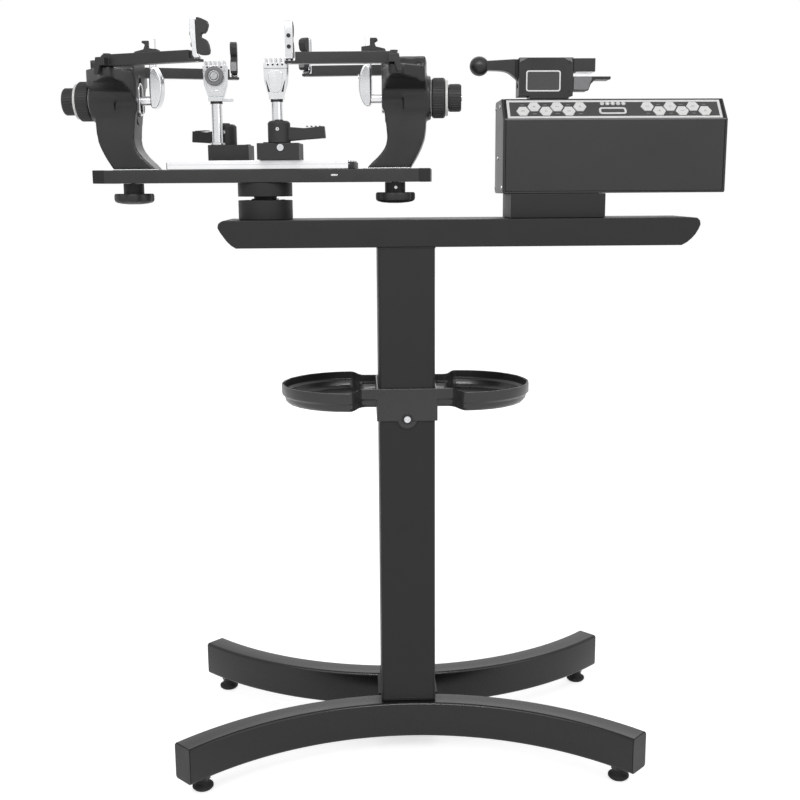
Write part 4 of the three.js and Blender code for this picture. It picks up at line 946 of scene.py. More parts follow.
class Metalwork:
    """The solids that keep their shape and gain rounded edges and a finish."""

    # node name, or its start, to its finish and the width of its rounding
    SKINS: dict[str, tuple[Finish, float]] = {
        "foot": (Finishes.RUBBER, 0.6),
        "column": (Finishes.POWDER_COAT, 0.8),
        "tool_tray": (Finishes.TRAY, 0.9),
        "beam": (Finishes.POWDER_COAT, 1.4),
        "turntable_base": (Finishes.POWDER_COAT, 0.8),
        "turntable_hub": (Finishes.POWDER_COAT, 0.8),
        "turntable_rail": (Finishes.ANODISED, 0.9),
        "guide_rails": (Finishes.SATIN, 0.5),
        "racket_post": (Finishes.CASTING, 1.2),
        "arm_wheel": (Finishes.ABS, 0.8),
        "centre_knob": (Finishes.ABS, 0.8),
        "arm_": (Finishes.ANODISED, 0.7),
        "clamp_base_lever": (Finishes.ABS, 0.9),
        "clamp_base": (Finishes.ABS, 0.9),
        "string_clamp": (Finishes.POLISHED, 0.35),
        "tension_pedestal": (Finishes.POWDER_COAT, 1.0),
        "housing": (Finishes.ENAMEL, 0.6),
        "housing_cover": (Finishes.ENAMEL, 1.2),
        "control_panel": (Finishes.FILM, 0.0),
        "gripper": (Finishes.CASTING, 0.6),
        "key_": (Finishes.KEY, 0.35),
        "lead_screw": (Finishes.POLISHED, 0.3),
        "drive_motor": (Finishes.SATIN, 0.8),
    }

    # sheets with many openings, whose flats keep their inner edges
    PIERCED = ("control_panel", "tool_tray", "housing_cover")
    # the starts of the names of solids that other classes stand in for
    OWN = ("base_tube", "lock_knob", "centre_support", "shoulder_support")
    CASTING_VOXEL = 1.8
    CASTING_PASSES = 6

    def __init__(self, shop: Workshop) -> None:
        """Keeps the workshop."""
        self.shop = shop

    def choose(self, node: str) -> tuple[Finish, float]:
        """Finds a node's finish and rounding by the longest name start that fits it."""
        starts = [start for start in self.SKINS if node.startswith(start)]
        return self.SKINS[max(starts, key=len)]

    def build(self) -> None:
        """Gives every solid its skin, the racket posts as castings."""
        for node in sorted(self.shop.nodes):
            if node.startswith(self.OWN):
                continue
            finish, width = self.choose(node)
            if node.startswith("racket_post"):
                self.shop.casting(node, finish, self.CASTING_VOXEL, self.CASTING_PASSES)
            else:
                self.shop.skin(node, finish, width, node not in self.PIERCED)


@dataclass(frozen=True)
class Mount:
    """Where trims go: their frame, the body that they ride on, and the end of their names."""

    shop: Workshop
    frame: Matrix
    body: str = "stand"
    ending: str = ""

    def on(self, body: str) -> "Mount":
        """The same frame, on another body."""
        return replace(self, body=body)

    def at(self, place: Matrix) -> "Mount":
        """The same body, with the frame moved."""
        return replace(self, frame=self.frame @ place)

    def add(self, name: str, shape: Shape, finish: Finish, width_mm: float = 0.0, segments: int = 2,
            replaces: Sequence[str] = ()) -> None:
        """Makes a piece from a shape.

        Args:
            name: the start of its name.
            shape: its mesh in the making.
            finish: what it is made of.
            width_mm: the rounding of its edges.
            segments: facets across the rounding.
            replaces: solids that it stands for.
        """
        item = shape.emit(name + self.ending, self.frame)
        soften(item, width_mm, segments)
        self.shop.attach(item, finish, self.body, replaces)

    def screws(self, name: str, points: Sequence[Point], facing: Point, radius: float, height: float,
               finish: Finish = Finishes.ZINC, socket: float = 0.5) -> None:
        """Sets one screw at each point, all as one piece.

        Args:
            name: the start of its name.
            points: where the heads sit.
            facing: the way that the heads face.
            radius: of a head.
            height: of a head.
            finish: what they are made of.
            socket: the socket's share of the radius.
        """
        item = self.shop.screws.make(name + self.ending, self.frame, finish, {
            "Head Radius": radius * MM, "Head Height": height * MM, "Socket Radius": radius * socket * MM,
            "Socket Depth": height * 1.2 * MM, "Facing": facing}, points)
        self.shop.attach(item, finish, self.body)

    def ribs(self, name: str, count: int, ring: float, rib: float, span: Span, finish: Finish) -> None:
        """Makes a ring of ribs about the X axis.

        Args:
            name: the start of its name.
            count: how many ribs.
            ring: radius of the circle of the ribs' middles.
            rib: radius of a rib.
            span: where the ribs start and end along X.
            finish: what they are made of.
        """
        item = self.shop.knurls.make(name + self.ending, self.frame, finish, {
            "Count": count, "Ring Radius": ring * MM, "Rib Radius": rib * MM,
            "Rib Length": (span[1] - span[0]) * MM, "Along": (span[0] + span[1]) / 2 * MM}, sharp_angle=50)
        self.shop.attach(item, finish, self.body)


@dataclass
class Assembly:
    """A sub-assembly of the machine. Each class has its sizes in its own fields, in millimetres."""

    shop: Workshop
    layout: Layout


@dataclass
class BaseFrame(Assembly):
    """The two bent base tubes and what is fixed to them."""

    bend: float = 438.0
    width: float = 35.0
    height: float = 54.0
    corner: float = 4.5
    half_angle: float = 44.5
    floor_gap: float = 22.0
    bend_centre: float = 507.0
    foot_angle: float = 40.6
    nut_radius: float = 11.2
    nut_span: Span = (14.6, 20.6)

    @property
    def radius(self) -> float:
        """The bend of a tube's middle line."""
        return self.bend + self.width / 2

    @property
    def middle(self) -> float:
        """The height of the tubes' middle line."""
        return self.floor_gap + self.height / 2

    def tubes(self) -> None:
        """Sweeps the front and the rear tube."""
        bender = TubeBender(self.shop.paints)
        sizes = {"Bend Radius": self.radius * MM, "Half Angle": math.radians(self.half_angle),
                 "Width": self.width * MM, "Height": self.height * MM, "Corner": self.corner * MM}
        for row in Row:
            node = f"base_tube_{row.word}"
            place = (self.layout.machine @ turn_z(0 if row is Row.FRONT else 180)
                     @ move(0, -self.bend_centre, self.middle))
            item = bender.make(f"{node}_bent", place, Finishes.GLOSS_COAT, sizes, sharp_angle=40)
            self.shop.attach(item, Finishes.GLOSS_COAT, "stand", [node])

    def foot_nut(self, row: Row, side: Side) -> None:
        """Puts the hexagonal lock nut of a foot between its neck and the tube."""
        angle = math.radians(self.foot_angle)
        centre = (side.value * self.radius * math.sin(angle),
                  row.value * (self.bend_centre - self.radius * math.cos(angle)))
        corner = f"{row.word}_{side.word}"
        nut = Shape().prism(Axis.Z, hexagon(self.nut_radius, centre), self.nut_span)
        Mount(self.shop, self.layout.machine, f"foot_{corner}").add(f"foot_nut_{corner}", nut,
                                                                     Finishes.BLACK_OXIDE, 0.7)

    def end_cap(self, row: Row, side: Side) -> None:
        """Sets a plastic cap on a tube end."""
        frame = (self.layout.machine @ move(0, row.value * self.bend_centre)
                 @ turn_z(side.value * row.value * self.half_angle)
                 @ move(0, -row.value * self.radius, self.middle))
        half = (self.width / 2 - 0.5, self.height / 2 - 0.5)
        cap = Shape().prism(Axis.X, rounded(half, 4.2), side.span(0.05, 1.3))
        Mount(self.shop, frame).add(f"tube_cap_{row.word}_{side.word}", cap, Finishes.ABS, 0.5)

    def build(self) -> None:
        """Builds the base."""
        self.tubes()
        for row in Row:
            for side in Side:
                self.foot_nut(row, side)
                self.end_cap(row, side)


@dataclass
class Turntable(Assembly):
    """The trims of the rail, the guide bars and the bearing."""

    half_length: float = 235.0
    half_depth: float = 38.0
    bottom: float = 841.6
    top: float = 859.6
    cap_wall: float = 0.6
    guide_half: float = 34.0
    pin_place: Place = (103.0, 851.2)
    seam_place: Place = (-4.0, 866.3)
    bearing_circle: float = 30.5

    def rail_ends(self, table: Mount, side: Side) -> None:
        """Puts a plastic cap over an end of the rail."""
        ends = side.span(self.half_length - 15.5, self.half_length + 0.9)
        half = self.half_depth + self.cap_wall
        cap = Shape().slab((ends[0], -half, self.bottom - 0.15), (ends[1], half, self.top + 0.2))
        table.add(f"rail_cap_{side.word}", cap, Finishes.CAP, 1.1)

    def guide_stop(self, table: Mount, side: Side) -> None:
        """Closes the guide bars with a thin plate on the left and a black stop with screws on the right."""
        edge, thickness = {Side.LEFT: (131.3, 1.5), Side.RIGHT: (122.3, 8.0)}[side]
        ends = side.span(edge, edge + thickness)
        stop = Shape().slab((ends[0], -31, self.top + 0.3), (ends[1], 31, self.top + 9.6))
        table.add(f"guide_stop_{side.word}", stop, Finishes.ABS, 0.6)
        if side is Side.RIGHT:
            table.screws("guide_stop_screws", [(sum(ends) / 2, y, self.top + 9.4) for y in (-20, 20)],
                         (0, 0, 1), 3.1, 2.0)

    def lines(self, table: Mount, row: Row) -> None:
        """Sets the bright pin in the rail's side and marks the seam of the guide bar's inlay."""
        pin = Shape().prism(Axis.Y, rounded((4.6, 1.2), 1.15, self.pin_place),
                            row.span(self.half_depth - 1.0, self.half_depth + 0.35))
        table.add(f"rail_pin_{row.word}", pin, Finishes.ZINC, 0.2)
        seam = Shape().prism(Axis.Y, rounded((128, 0.35), 0.3, self.seam_place, 3),
                             row.span(self.guide_half - 0.4, self.guide_half + 0.12))
        table.add(f"guide_seam_{row.word}", seam, Finishes.ZINC)

    def bearing(self, table: Mount) -> None:
        """Sets the thrust ring, the screws of the bearing's base, and those that hold the rail."""
        thrust = Shape().washer(Axis.Z, (16.3, 19.5), (818.0, 819.3))
        table.add("thrust_ring", thrust, Finishes.BLACK_OXIDE, 0.3)
        out = self.bearing_circle
        points = [(out * math.cos(t), out * math.sin(t), 817.2)
                  for t in (math.pi / 4 + math.pi / 2 * i for i in range(4))]
        table.on("stand").screws("bearing_screws", points, (0, 0, 1), 3.4, 0.7, Finishes.BLACK_OXIDE)
        points = [(x, y, self.top - 0.1) for x in (-22, 22) for y in (-11, 11)]
        table.screws("rail_screws", points, (0, 0, 1), 4.6, 1.6)

    def build(self) -> None:
        """Builds the trims of the turntable."""
        table = Mount(self.shop, self.layout.table, "turntable")
        for side in Side:
            self.rail_ends(table, side)
            self.guide_stop(table, side)
        for row in Row:
            self.lines(table, row)
        self.bearing(table)


@dataclass
class RacketPost(Assembly):
    """What a post carries: its screws, washers, wheels' grips, lock knob and centre support."""

    side: Side
    axis_height: float = 955.3
    knob_top: float = 841.3
    knob_shoulder: float = 827.3
    knob_bottom: float = 812.3
    knob_radius: float = 27.3
    knob_lobes: int = 7
    knob_steps: int = 140
    # the teardrop bracket and the hooked pad: their corners as shares of reach and height
    leaf_reach: float = 18.0
    leaf_height: float = 58.0
    leaf_shares: Outline = ((1, 0.1), (1, 0.9), (0.62, 1), (0.4, 0.97), (0.1, 0.75), (0, 0.5), (0.1, 0.25),
                            (0.42, 0.03), (0.8, 0))
    pad_reach: float = 33.0
    pad_height: float = 22.0
    pad_shares: Outline = ((0, 0), (1, 0), (1, 0.34), (0.6, 0.48), (0.53, 0.76), (0.67, 0.88), (0.65, 1),
                           (0.37, 1), (0.36, 0.54), (0, 0.48))

    def __post_init__(self) -> None:
        """Sets the two frames: the post's, and the same raised to the wheels' axis."""
        word = self.side.word
        self.post = Mount(self.shop, self.layout.post(self.side), f"post_{word}", f"_{word}")
        self.axis = self.post.at(move(0, 0, self.axis_height))

    def block(self) -> None:
        """Lays the bright shim under the foot and sets the clamping screws of the raised block."""
        shim = Shape().slab((-43.5, -23.2, 859.9), (22.2, 23.2, 861.0))
        self.post.add("foot_shim", shim, Finishes.SATIN, 0.2)
        for row in Row:
            self.post.screws(f"block_screw_{row.word}", [(34.5, row.value * 29.6, 998.2)], (0, row.value, 0),
                             4.8, 1.3, Finishes.BLACK_OXIDE, 0.6)

    def pocket(self) -> None:
        """Closes the ends of the shaft's pocket and frames its opening with a bright ring."""
        cover = Shape().band(Axis.X, rounded((9.4, 32.4), 9.2), rounded((8.0, 21.5), 7.9), (-13.0, -11.0))
        self.axis.add("pocket_cover", cover, Finishes.CASTING, 0.3)
        frame = Shape().band(Axis.X, rounded((10.6, 22.6), 10.5), rounded((8.0, 20.0), 7.9), (-17.3, -13.0))
        self.axis.at(move(z=2.0)).add("pocket_ring", frame, Finishes.SATIN, 0.5)

    def wheels(self) -> None:
        """Puts nylon washers beside the arm wheel, ribs round both wheels, and a screw in the small one."""
        self.axis.add("boss_washer", Shape().washer(Axis.X, (20.3, 24.6), (50.7, 51.8)), Finishes.NYLON, 0.2)
        self.axis.on(f"arm_wheel_{self.side.word}").ribs("arm_wheel_ribs", 44, 26.3, 0.95, (54.2, 68.4),
                                                         Finishes.ABS)
        small = self.axis.on(f"centre_knob_{self.side.word}")
        small.add("wheel_washer", Shape().washer(Axis.X, (14.1, 24.2), (70.9, 74.3)), Finishes.NYLON, 0.5)
        small.ribs("centre_knob_ribs", 32, 17.9, 0.85, (77.0, 90.6), Finishes.ABS)
        small.screws("centre_knob_screw", [(92.6, 0, 0)], (1, 0, 0), 4.6, 1.2)

    def _star(self, share: float) -> list[Place]:
        """Gives the star knob's lobed outline at a share of its full size."""
        outline = []
        for step in range(self.knob_steps):
            turn = 2 * math.pi * step / self.knob_steps
            radius = (self.knob_radius + 1.15 * math.cos(self.knob_lobes * turn)
                      - 0.35 * math.cos(2 * self.knob_lobes * turn))
            outline.append((share * radius * math.cos(turn), share * radius * math.sin(turn)))
        return outline

    def lock_knob(self) -> None:
        """Makes the star knob under the rail with its neck, stud and set screw."""
        body = f"lock_knob_{self.side.word}"
        knob = self.post.on(body)
        top, shoulder, bottom = self.knob_top, self.knob_shoulder, self.knob_bottom
        heights = [(0.3, bottom), (0.66, bottom + 0.9), (0.88, bottom + 2.4), (0.97, bottom + 4.2),
                   (1.0, bottom + 6.6), (1.0, shoulder - 2.6), (0.975, shoulder - 0.8), (0.93, shoulder)]
        star = Shape().stack(Axis.Z, [(self._star(share), height) for share, height in heights])
        knob.add("star_knob", star, Finishes.ABS, replaces=[body])
        neck = [(14.4, shoulder - 0.5), (14.4, top - 0.4), (14.0, top), (0, top)]
        knob.add("knob_neck", Shape().lathe(Axis.Z, neck, steps=56), Finishes.ABS)
        stud = [(0, top - 1), (4, top - 1), (4, 874.4), (3.2, 875.2), (0, 875.2)]
        knob.add("knob_stud", Shape().lathe(Axis.Z, stud, steps=32), Finishes.ZINC)
        # only the right knob has its set screw turned to the front
        out = -1 if self.side is Side.RIGHT else 1
        knob.screws("knob_set_screw", [(1.8, out * 14.25, 834.0)], (0, out, 0), 2.1, 0.4)

    def centre_support(self) -> None:
        """Makes the teardrop bracket, its shaft, its stem and the hooked pad."""
        body = f"centre_support_{self.side.word}"
        support = self.post.on(body)
        leaf = eased([(-49.5 + out * self.leaf_reach, 944.0 + up * self.leaf_height)
                      for out, up in self.leaf_shares])
        support.add("support_leaf", Shape().prism(Axis.Y, leaf, (-11, 11)), Finishes.POLISHED, 2.6, 4, [body])
        shaft = Shape().lathe(Axis.X, [(0, -40), (6.6, -40), (6.6, 46.4), (6.0, 47), (0, 47)])
        self.axis.on(body).add("support_shaft", shaft, Finishes.SATIN)
        stem = Shape().prism(Axis.Z, rounded((4, 6), 1.4, (-36, 0)), (973, 1040))
        support.add("support_stem", stem, Finishes.SATIN, 0.6)
        pad = [(-45 + out * self.pad_reach, 1014 + up * self.pad_height) for out, up in self.pad_shares]
        support.add("support_pad", Shape().prism(Axis.Y, pad, (-8, 8)), Finishes.PAD, 0.9)
        support.screws("support_screw", [(-49.2, 0, 985)], (-1, 0, 0), 3.4, 0.9)

    def build(self) -> None:
        """Builds all that the post carries."""
        self.block()
        self.pocket()
        self.wheels()
        self.lock_knob()
        self.centre_support()


@dataclass
class RacketArm(Assembly):
    """An arm's pivot bolt, and the cradle at its tip: bright bracket, black jaw and their screws."""

    row: Row
    side: Side
    bottom: float = 998.2
    height: float = 51.0
    # outlines: distance from the pin, and share of the height
    bracket: Outline = ((-5, 0.3), (-5, 0.01), (4.8, 0.01), (4.8, 0.06), (1.4, 0.1), (0.4, 0.5), (0.6, 0.9),
                        (-0.6, 0.985), (-4.6, 0.995), (-7.4, 0.92), (-7.4, 0.6))
    jaw: Outline = ((1.2, 0.1), (13, 0.075), (18.4, 0.13), (15.6, 0.41), (10.6, 0.49), (6.8, 0.485),
                    (6.8, 0.61), (13.4, 0.605), (17.8, 0.88), (6.2, 0.985), (0.4, 0.99), (0.4, 0.5))
    cover: Outline = ((-7.2, 0.44), (-5.4, 0.44), (-5.4, 0.985), (-7.6, 0.93))
    wear_plate: Outline = ((19.0, 0.14), (16.4, 0.4), (15.2, 0.4), (17.6, 0.14))

    def _plate(self, outline: Outline, half: float, rounds: int) -> Shape:
        """Carries one of the outlines across the cradle, with its corners cut."""
        points = [(x, self.bottom + up * self.height) for x, up in outline]
        return Shape().prism(Axis.Y, eased(points, rounds), (-half, half))

    def build(self) -> None:
        """Builds the bolt and the cradle."""
        corner = f"{self.row.word}_{self.side.word}"
        root = Mount(self.shop, self.layout.arm(self.row, self.side), f"arm_{corner}", f"_{corner}")
        root.screws("arm_bolt", [(2.0, 0, 1008.9)], (0, 0, 1), 5.2, 1.8, Finishes.BLACK_OXIDE)
        node = f"shoulder_support_{corner}"
        tip = Mount(self.shop, self.layout.cradle(self.row, self.side), node, f"_{corner}")
        tip.add("cradle_bracket", self._plate(self.bracket, 4.9, 2), Finishes.POLISHED, 1.0, 3, [node])
        tip.add("cradle_jaw", self._plate(self.jaw, 5.0, 1), Finishes.PAD, 0.9, 3)
        pin = Shape().lathe(Axis.Z, [(0, 994.6), (3, 994.6), (3, 999.5), (0, 999.5)], steps=28)
        tip.add("cradle_pin", pin, Finishes.ZINC)
        if self.row is Row.REAR:
            tip.add("cradle_cover", self._plate(self.cover, 5.1, 1), Finishes.PAD, 0.5)
            tip.add("cradle_wear_plate", self._plate(self.wear_plate, 4.2, 0), Finishes.BLASTED, 0.3)
        backs = [(x, 0, self.bottom + up * self.height) for x, up in ((-6.1, 0.34), (-7.3, 0.61))]
        tip.screws("cradle_screws", backs, (-1, 0, 0), 2.7, 0.8, Finishes.BLACK_OXIDE, 0.55)


@dataclass
class ClampStation(Assembly):
    """The trims of a clamp base, its cam lever and its string clamp."""

    side: Side
    base_top: float = 894.6
    head_bottom: float = 960.6
    head_top: float = 1003.2
    face: float = 7.6
    dial_height: float = 28.0
    hub_radius: float = 15.2
    rib_places: Sequence[float] = (38, 44, 50, 56)
    # places along the head of dark dots painted as the shade in the gaps between the teeth
    tooth_roots: Sequence[float] = (-9.9, -3.3, 3.3, 9.9)

    def __post_init__(self) -> None:
        """Sets the string clamp's frame."""
        word = self.side.word
        self.clamp = Mount(self.shop, self.layout.clamp(self.side), f"string_clamp_{word}", f"_{word}")

    def base(self) -> None:
        """Sets the large screw in the clamp base's outer face, and a bolt in its top."""
        row, _, lever_x, _ = self.layout.CLAMPS[self.side]
        word = self.side.word
        base = Mount(self.shop, self.layout.table, f"clamp_base_{word}", f"_{word}")
        base.screws("clamp_base_screw", [(lever_x + 3, row.value * 49.9, 888.4)], (0, row.value, 0), 4.6, 1.3)
        bolt_x = lever_x + {Side.RIGHT: -19, Side.LEFT: 32}[self.side]
        base.screws("clamp_base_bolts", [(bolt_x, row.value * 37, self.base_top - 0.1)], (0, 0, 1), 3.6, 1.6,
                    Finishes.BLACK_OXIDE)

    def lever(self) -> None:
        """Sets a bright pin head painted as the highlight on the cam lever's hub, the hub's bolt, and the
        ribs of its handle.
        """
        word = self.side.word
        lever = Mount(self.shop, self.layout.cam_lever(self.side), f"clamp_base_lever_{word}", f"_{word}")
        # the pin head of painted highlight faces the front, whatever way the lever is turned
        turn = math.radians(-self.layout.CLAMPS[self.side][3]) - math.pi / 2
        facing = (math.cos(turn), math.sin(turn), 0.0)
        lever.screws("lever_pin", [(self.hub_radius * facing[0], self.hub_radius * facing[1], 913.0)], facing,
                     2.3, 0.6)
        lever.screws("lever_bolt", [(0, 0, 924.2)], (0, 0, 1), 6.0, 1.8, Finishes.BLACK_OXIDE)
        ribs = Shape()
        for along in self.rib_places:
            ribs.prism(Axis.X, rounded((6.2, 0.6), 0.55, (0, 916.8), 3), (along, along + 1.6))
        lever.add("lever_ribs", ribs, Finishes.ABS)

    def stem(self) -> None:
        """Sets the collars at both ends of the clamp's post."""
        low = [(7.7, 895.0), (10.4, 895.0), (10.4, 897.2), (9.8, 897.8), (7.7, 897.8)]
        self.clamp.add("clamp_collar", Shape().ring(Axis.Z, low), Finishes.ZINC)
        high = [(0, 951.2), (8.6, 951.2), (8.6, 954.4), (0, 954.4)]
        self.clamp.add("clamp_throat", Shape().lathe(Axis.Z, high), Finishes.BLACK_OXIDE, 0.3)

    def adjuster(self) -> None:
        """Makes the knurled adjusting screw on the loose jaw, with its socket."""
        height = self.head_bottom + self.dial_height
        dial = self.clamp.on(f"string_clamp_jaw_{self.side.word}").at(move(0, 0, height))
        rim = [(9.0, -12.2), (12.2, -12.2), (12.9, -11.4), (12.9, -8.9), (12.2, -8.2), (9.0, -8.2)]
        dial.add("adjuster_rim", Shape().ring(Axis.Y, rim), Finishes.BLASTED)
        disc = [(0, -11.9), (5.4, -11.9), (8.9, -11.3), (8.9, -10.9), (0, -10.9)]
        dial.add("adjuster_face", Shape().lathe(Axis.Y, disc), Finishes.BLASTED)
        dial.add("adjuster_circle", Shape().washer(Axis.Y, (6.3, 7.3), (-12.1, -11.3)), Finishes.ZINC)
        dial.at(turn_z(-90)).ribs("adjuster_ribs", 30, 12.8, 0.6, (8.8, 11.6), Finishes.BLASTED)
        dial.screws("adjuster_socket", [(0, -11.8, 0)], (0, -1, 0), 4.8, 1.0)

    def both_faces(self) -> None:
        """Paints dark dots as shade in the gaps between the teeth, and marks the step under them, on both
        faces of the head.
        """
        for name, part, row in (("jaw", self.clamp.on(f"string_clamp_jaw_{self.side.word}"), Row.FRONT),
                                ("back", self.clamp, Row.REAR)):
            # dark dots of painted shade where the gaps between the teeth fall
            gap_points = [(x, row.value * (self.face - 0.1), self.head_top - 2.6) for x in self.tooth_roots]
            part.screws(f"tooth_roots_{name}", gap_points, (0, row.value, 0), 1.35, 0.35,
                        Finishes.BLACK_OXIDE, 0.4)
            step = Shape().prism(Axis.Y, rounded((15.6, 0.32), 0.3, (0, self.head_top - 7.6), 3),
                                 row.span(self.face - 0.3, self.face + 0.22))
            part.add(f"clamp_step_{name}", step, Finishes.BLASTED)

    def web(self) -> None:
        """Adds the web between dark wedges on the back, and the shoulder of the loose jaw."""
        low, high = self.head_bottom + 3.0, self.head_top - 10.5
        waist = low + 16
        web = eased([(-6.6, low), (6.6, low), (9.4, waist), (10.2, high), (-10.2, high), (-9.4, waist)], 1)
        self.clamp.add("clamp_web", Shape().prism(Axis.Y, web, (7.4, 8.7)), Finishes.POLISHED, 0.45)
        for name, hand in (("left", -1), ("right", 1)):
            wedge = [(hand * 7.8, low + 0.5), (hand * 10.8, low + 1.0), (hand * 13.8, low + 18),
                     (hand * 11.4, low + 12)]
            self.clamp.add(f"clamp_wedge_{name}", Shape().prism(Axis.Y, wedge, (7.4, 7.9)),
                           Finishes.BLACK_OXIDE)
        foot, rise = self.head_bottom + 2.2, self.head_bottom + 8.8
        shade = eased([(-8.2, foot), (8.2, foot), (5.4, rise), (-5.4, rise)], 1)
        self.clamp.on(f"string_clamp_jaw_{self.side.word}").add(
            "clamp_shoulder", Shape().prism(Axis.Y, shade, (-8.5, -7.4)), Finishes.POLISHED, 0.5)

    def build(self) -> None:
        """Builds the trims of the station."""
        self.base()
        self.lever()
        self.stem()
        self.adjuster()
        self.both_faces()
        self.web()


@dataclass
class TensionHead(Assembly):
    """The trims of the tension head: panel print, display, lamps, end plates and power inlet."""

    left: float = 136.0
    right: float = 447.0
    bottom: float = 824.5
    half_depth: float = 45.0
    front_height: float = 99.5
    height: float = 129.5
    setback: float = 26.0
    slope: float = 39.7
    plate_screws: Outline = ((-37, 833), (37, 833), (37, 944), (-10, 944), (9.3, 873.8))
    key_top: Span = (1.08, 1.2)
    key_pitch: float = 16.0
    key_stagger: float = 8.3
    key_groups: tuple[float, float] = (-88.0, 86.5)
    window: Place = (-2.5, 16.85)
    first_lamp: Place = (-16.1, 30.2)
    lamp_pitch: float = 7.5
    inlet: Place = (395.0, 866.0)
    vent_pitch: float = 9.0

    def __post_init__(self) -> None:
        """Sets the frames of the machine and of the slanted panel."""
        self.machine = Mount(self.shop, self.layout.machine)
        self.panel = Mount(self.shop, self.layout.panel())

    def keys(self) -> list[tuple[str, int, float, float]]:
        """Gives each key's side, number and place on the panel."""
        places = []
        for side, centre in zip(Side, self.key_groups):
            for index in range(6):
                up = side.value if index % 2 == 0 else -side.value
                places.append((side.word, index + 1, centre + (index - 2.5) * self.key_pitch,
                               (self.slope + up * self.key_stagger) / 2))
        return places

    def print_panel(self) -> None:
        """Prints the white frame line and the short grey lines, and paints a highlight along the bend under
        them.
        """
        middle = (0.0, self.slope / 2)
        line = Shape().band(Axis.Z, rounded((149.8, 16.9), 0.8, middle), rounded((146.2, 13.3), 0.4, middle),
                            (0.02, 0.16))
        self.panel.add("panel_frame_line", line, Finishes.INK)
        # a light grey strip of painted highlight along the bend under the panel
        self.panel.add("panel_fold_line", Shape().slab((-154, 0.1, 0.02), (154, 2.2, 0.2)), Finishes.RUBBED)
        dashes = Shape()
        for _, _, x, y in self.keys():
            middle_y = y + (-12.4 if y > self.slope / 2 else 12.4)
            dashes.slab((x - 2.6, middle_y - 0.4, 0.02), (x + 2.6, middle_y + 0.4, 0.12))
        self.panel.add("panel_dashes", dashes, Finishes.MARK)

    def mark_keys(self) -> None:
        """Prints a plain grey sign on each key: a bar, two bars, a wedge or a ring."""
        low, high = self.key_top
        for word, number, x, y in self.keys():
            sign = Shape()
            if number % 4 == 2:
                sign.prism(Axis.Z, [(x - 2.4, y - 1.3), (x + 2.4, y - 1.3), (x, y + 1.8)], self.key_top)
            elif number % 4 == 3:
                sign.washer(Axis.Z, (1.2, 1.9), self.key_top, (x, y), 24)
            else:
                for bar in ((0.0,), (0.9, -0.9))[number % 4]:
                    half = 0.4 if bar else 0.5
                    sign.slab((x - 2.6, y + bar - half, low), (x + 2.6, y + bar + half, high))
            self.panel.on(f"key_{word}_{number}").add(f"key_sign_{word}_{number}", sign, Finishes.SIGN)

    def display(self) -> None:
        """Makes the window's white surround, its glass, and the five lamps above it."""
        surround = Shape().band(Axis.Z, rounded((19.2, 6.2), 4.2, self.window),
                                rounded((16.4, 3.5), 2.2, self.window), (-0.75, 0.3))
        self.panel.add("window_surround", surround, Finishes.INK, 0.12)
        glass = Shape().prism(Axis.Z, rounded((16.3, 3.4), 2.1, self.window), (-0.75, -0.1))
        self.panel.add("window_glass", glass, Finishes.ACRYLIC, 0.1)
        lamps, seats = Shape(), Shape()
        for index in range(5):
            centre = (self.first_lamp[0] + index * self.lamp_pitch, self.first_lamp[1])
            lamps.lathe(Axis.Z, [(2.3, 0.05), (2.2, 0.6), (1.5, 1.1), (0, 1.3)], centre, 24)
            seats.washer(Axis.Z, (2.4, 3.0), (0.02, 0.3), centre, 24)
        self.panel.add("lamp_lenses", lamps, Finishes.LENS)
        self.panel.add("lamp_seats", seats, Finishes.INK)

    def end_plate(self, side: Side, x: float, finish: Finish) -> None:
        """Lays a plate on an end of the housing, with its screws."""
        front, back = -self.half_depth + 1.2, self.half_depth - 1.2
        low, high = self.bottom + 1.2, self.bottom + self.height - 1.2
        outline = [(front, low), (back, low), (back, high - 2.8), (back - 2.8, high),
                   (front + self.setback - 0.2, high), (front, self.bottom + self.front_height)]
        plate = Shape().prism(Axis.X, outline, tuple(sorted((x, x + side.value * 1.1))))
        self.machine.add(f"end_plate_{side.word}", plate, finish, 0.4)
        points = [(x + side.value, y, z) for y, z in self.plate_screws]
        self.machine.screws(f"end_plate_screws_{side.word}", points, (side.value, 0, 0), 2.9, 1.2)

    def slot_lips(self) -> None:
        """Lines the slot in the cover with a thin rubber lip on each side."""
        for row in Row:
            sides = row.span(8.7, 11.4)
            lip = Shape().slab((171, sides[0], 953.9), (385, sides[1], 954.2))
            self.machine.add(f"slot_lip_{row.word}", lip, Finishes.RUBBER)

    def power_inlet(self) -> None:
        """Builds the mains inlet and its rocker switch in the back of the cover."""
        back = self.half_depth
        rim = Shape().band(Axis.Y, rounded((30, 16), 3, self.inlet), rounded((25.5, 11.5), 2, self.inlet),
                           (back - 0.2, back + 1.8))
        self.machine.add("inlet_rim", rim, Finishes.ABS, 0.4)
        floor = Shape().prism(Axis.Y, rounded((25.6, 11.6), 2, self.inlet), (back - 0.2, back + 0.3))
        self.machine.add("inlet_floor", floor, Finishes.RUBBER)
        pins = Shape()
        for x, z in ((401, 866), (409, 869), (409, 863)):
            pins.slab((x - 0.9, back, z - 0.6), (x + 0.9, back + 1.4, z + 0.6))
        self.machine.add("inlet_pins", pins, Finishes.ZINC)
        rocker = [(back + 0.2, 857.5), (back + 1.7, 857.5), (back + 1.1, 866), (back + 2.6, 874.5),
                  (back + 0.2, 874.5)]
        self.machine.add("inlet_rocker", Shape().prism(Axis.X, rocker, (375, 387)), Finishes.ABS, 0.3)

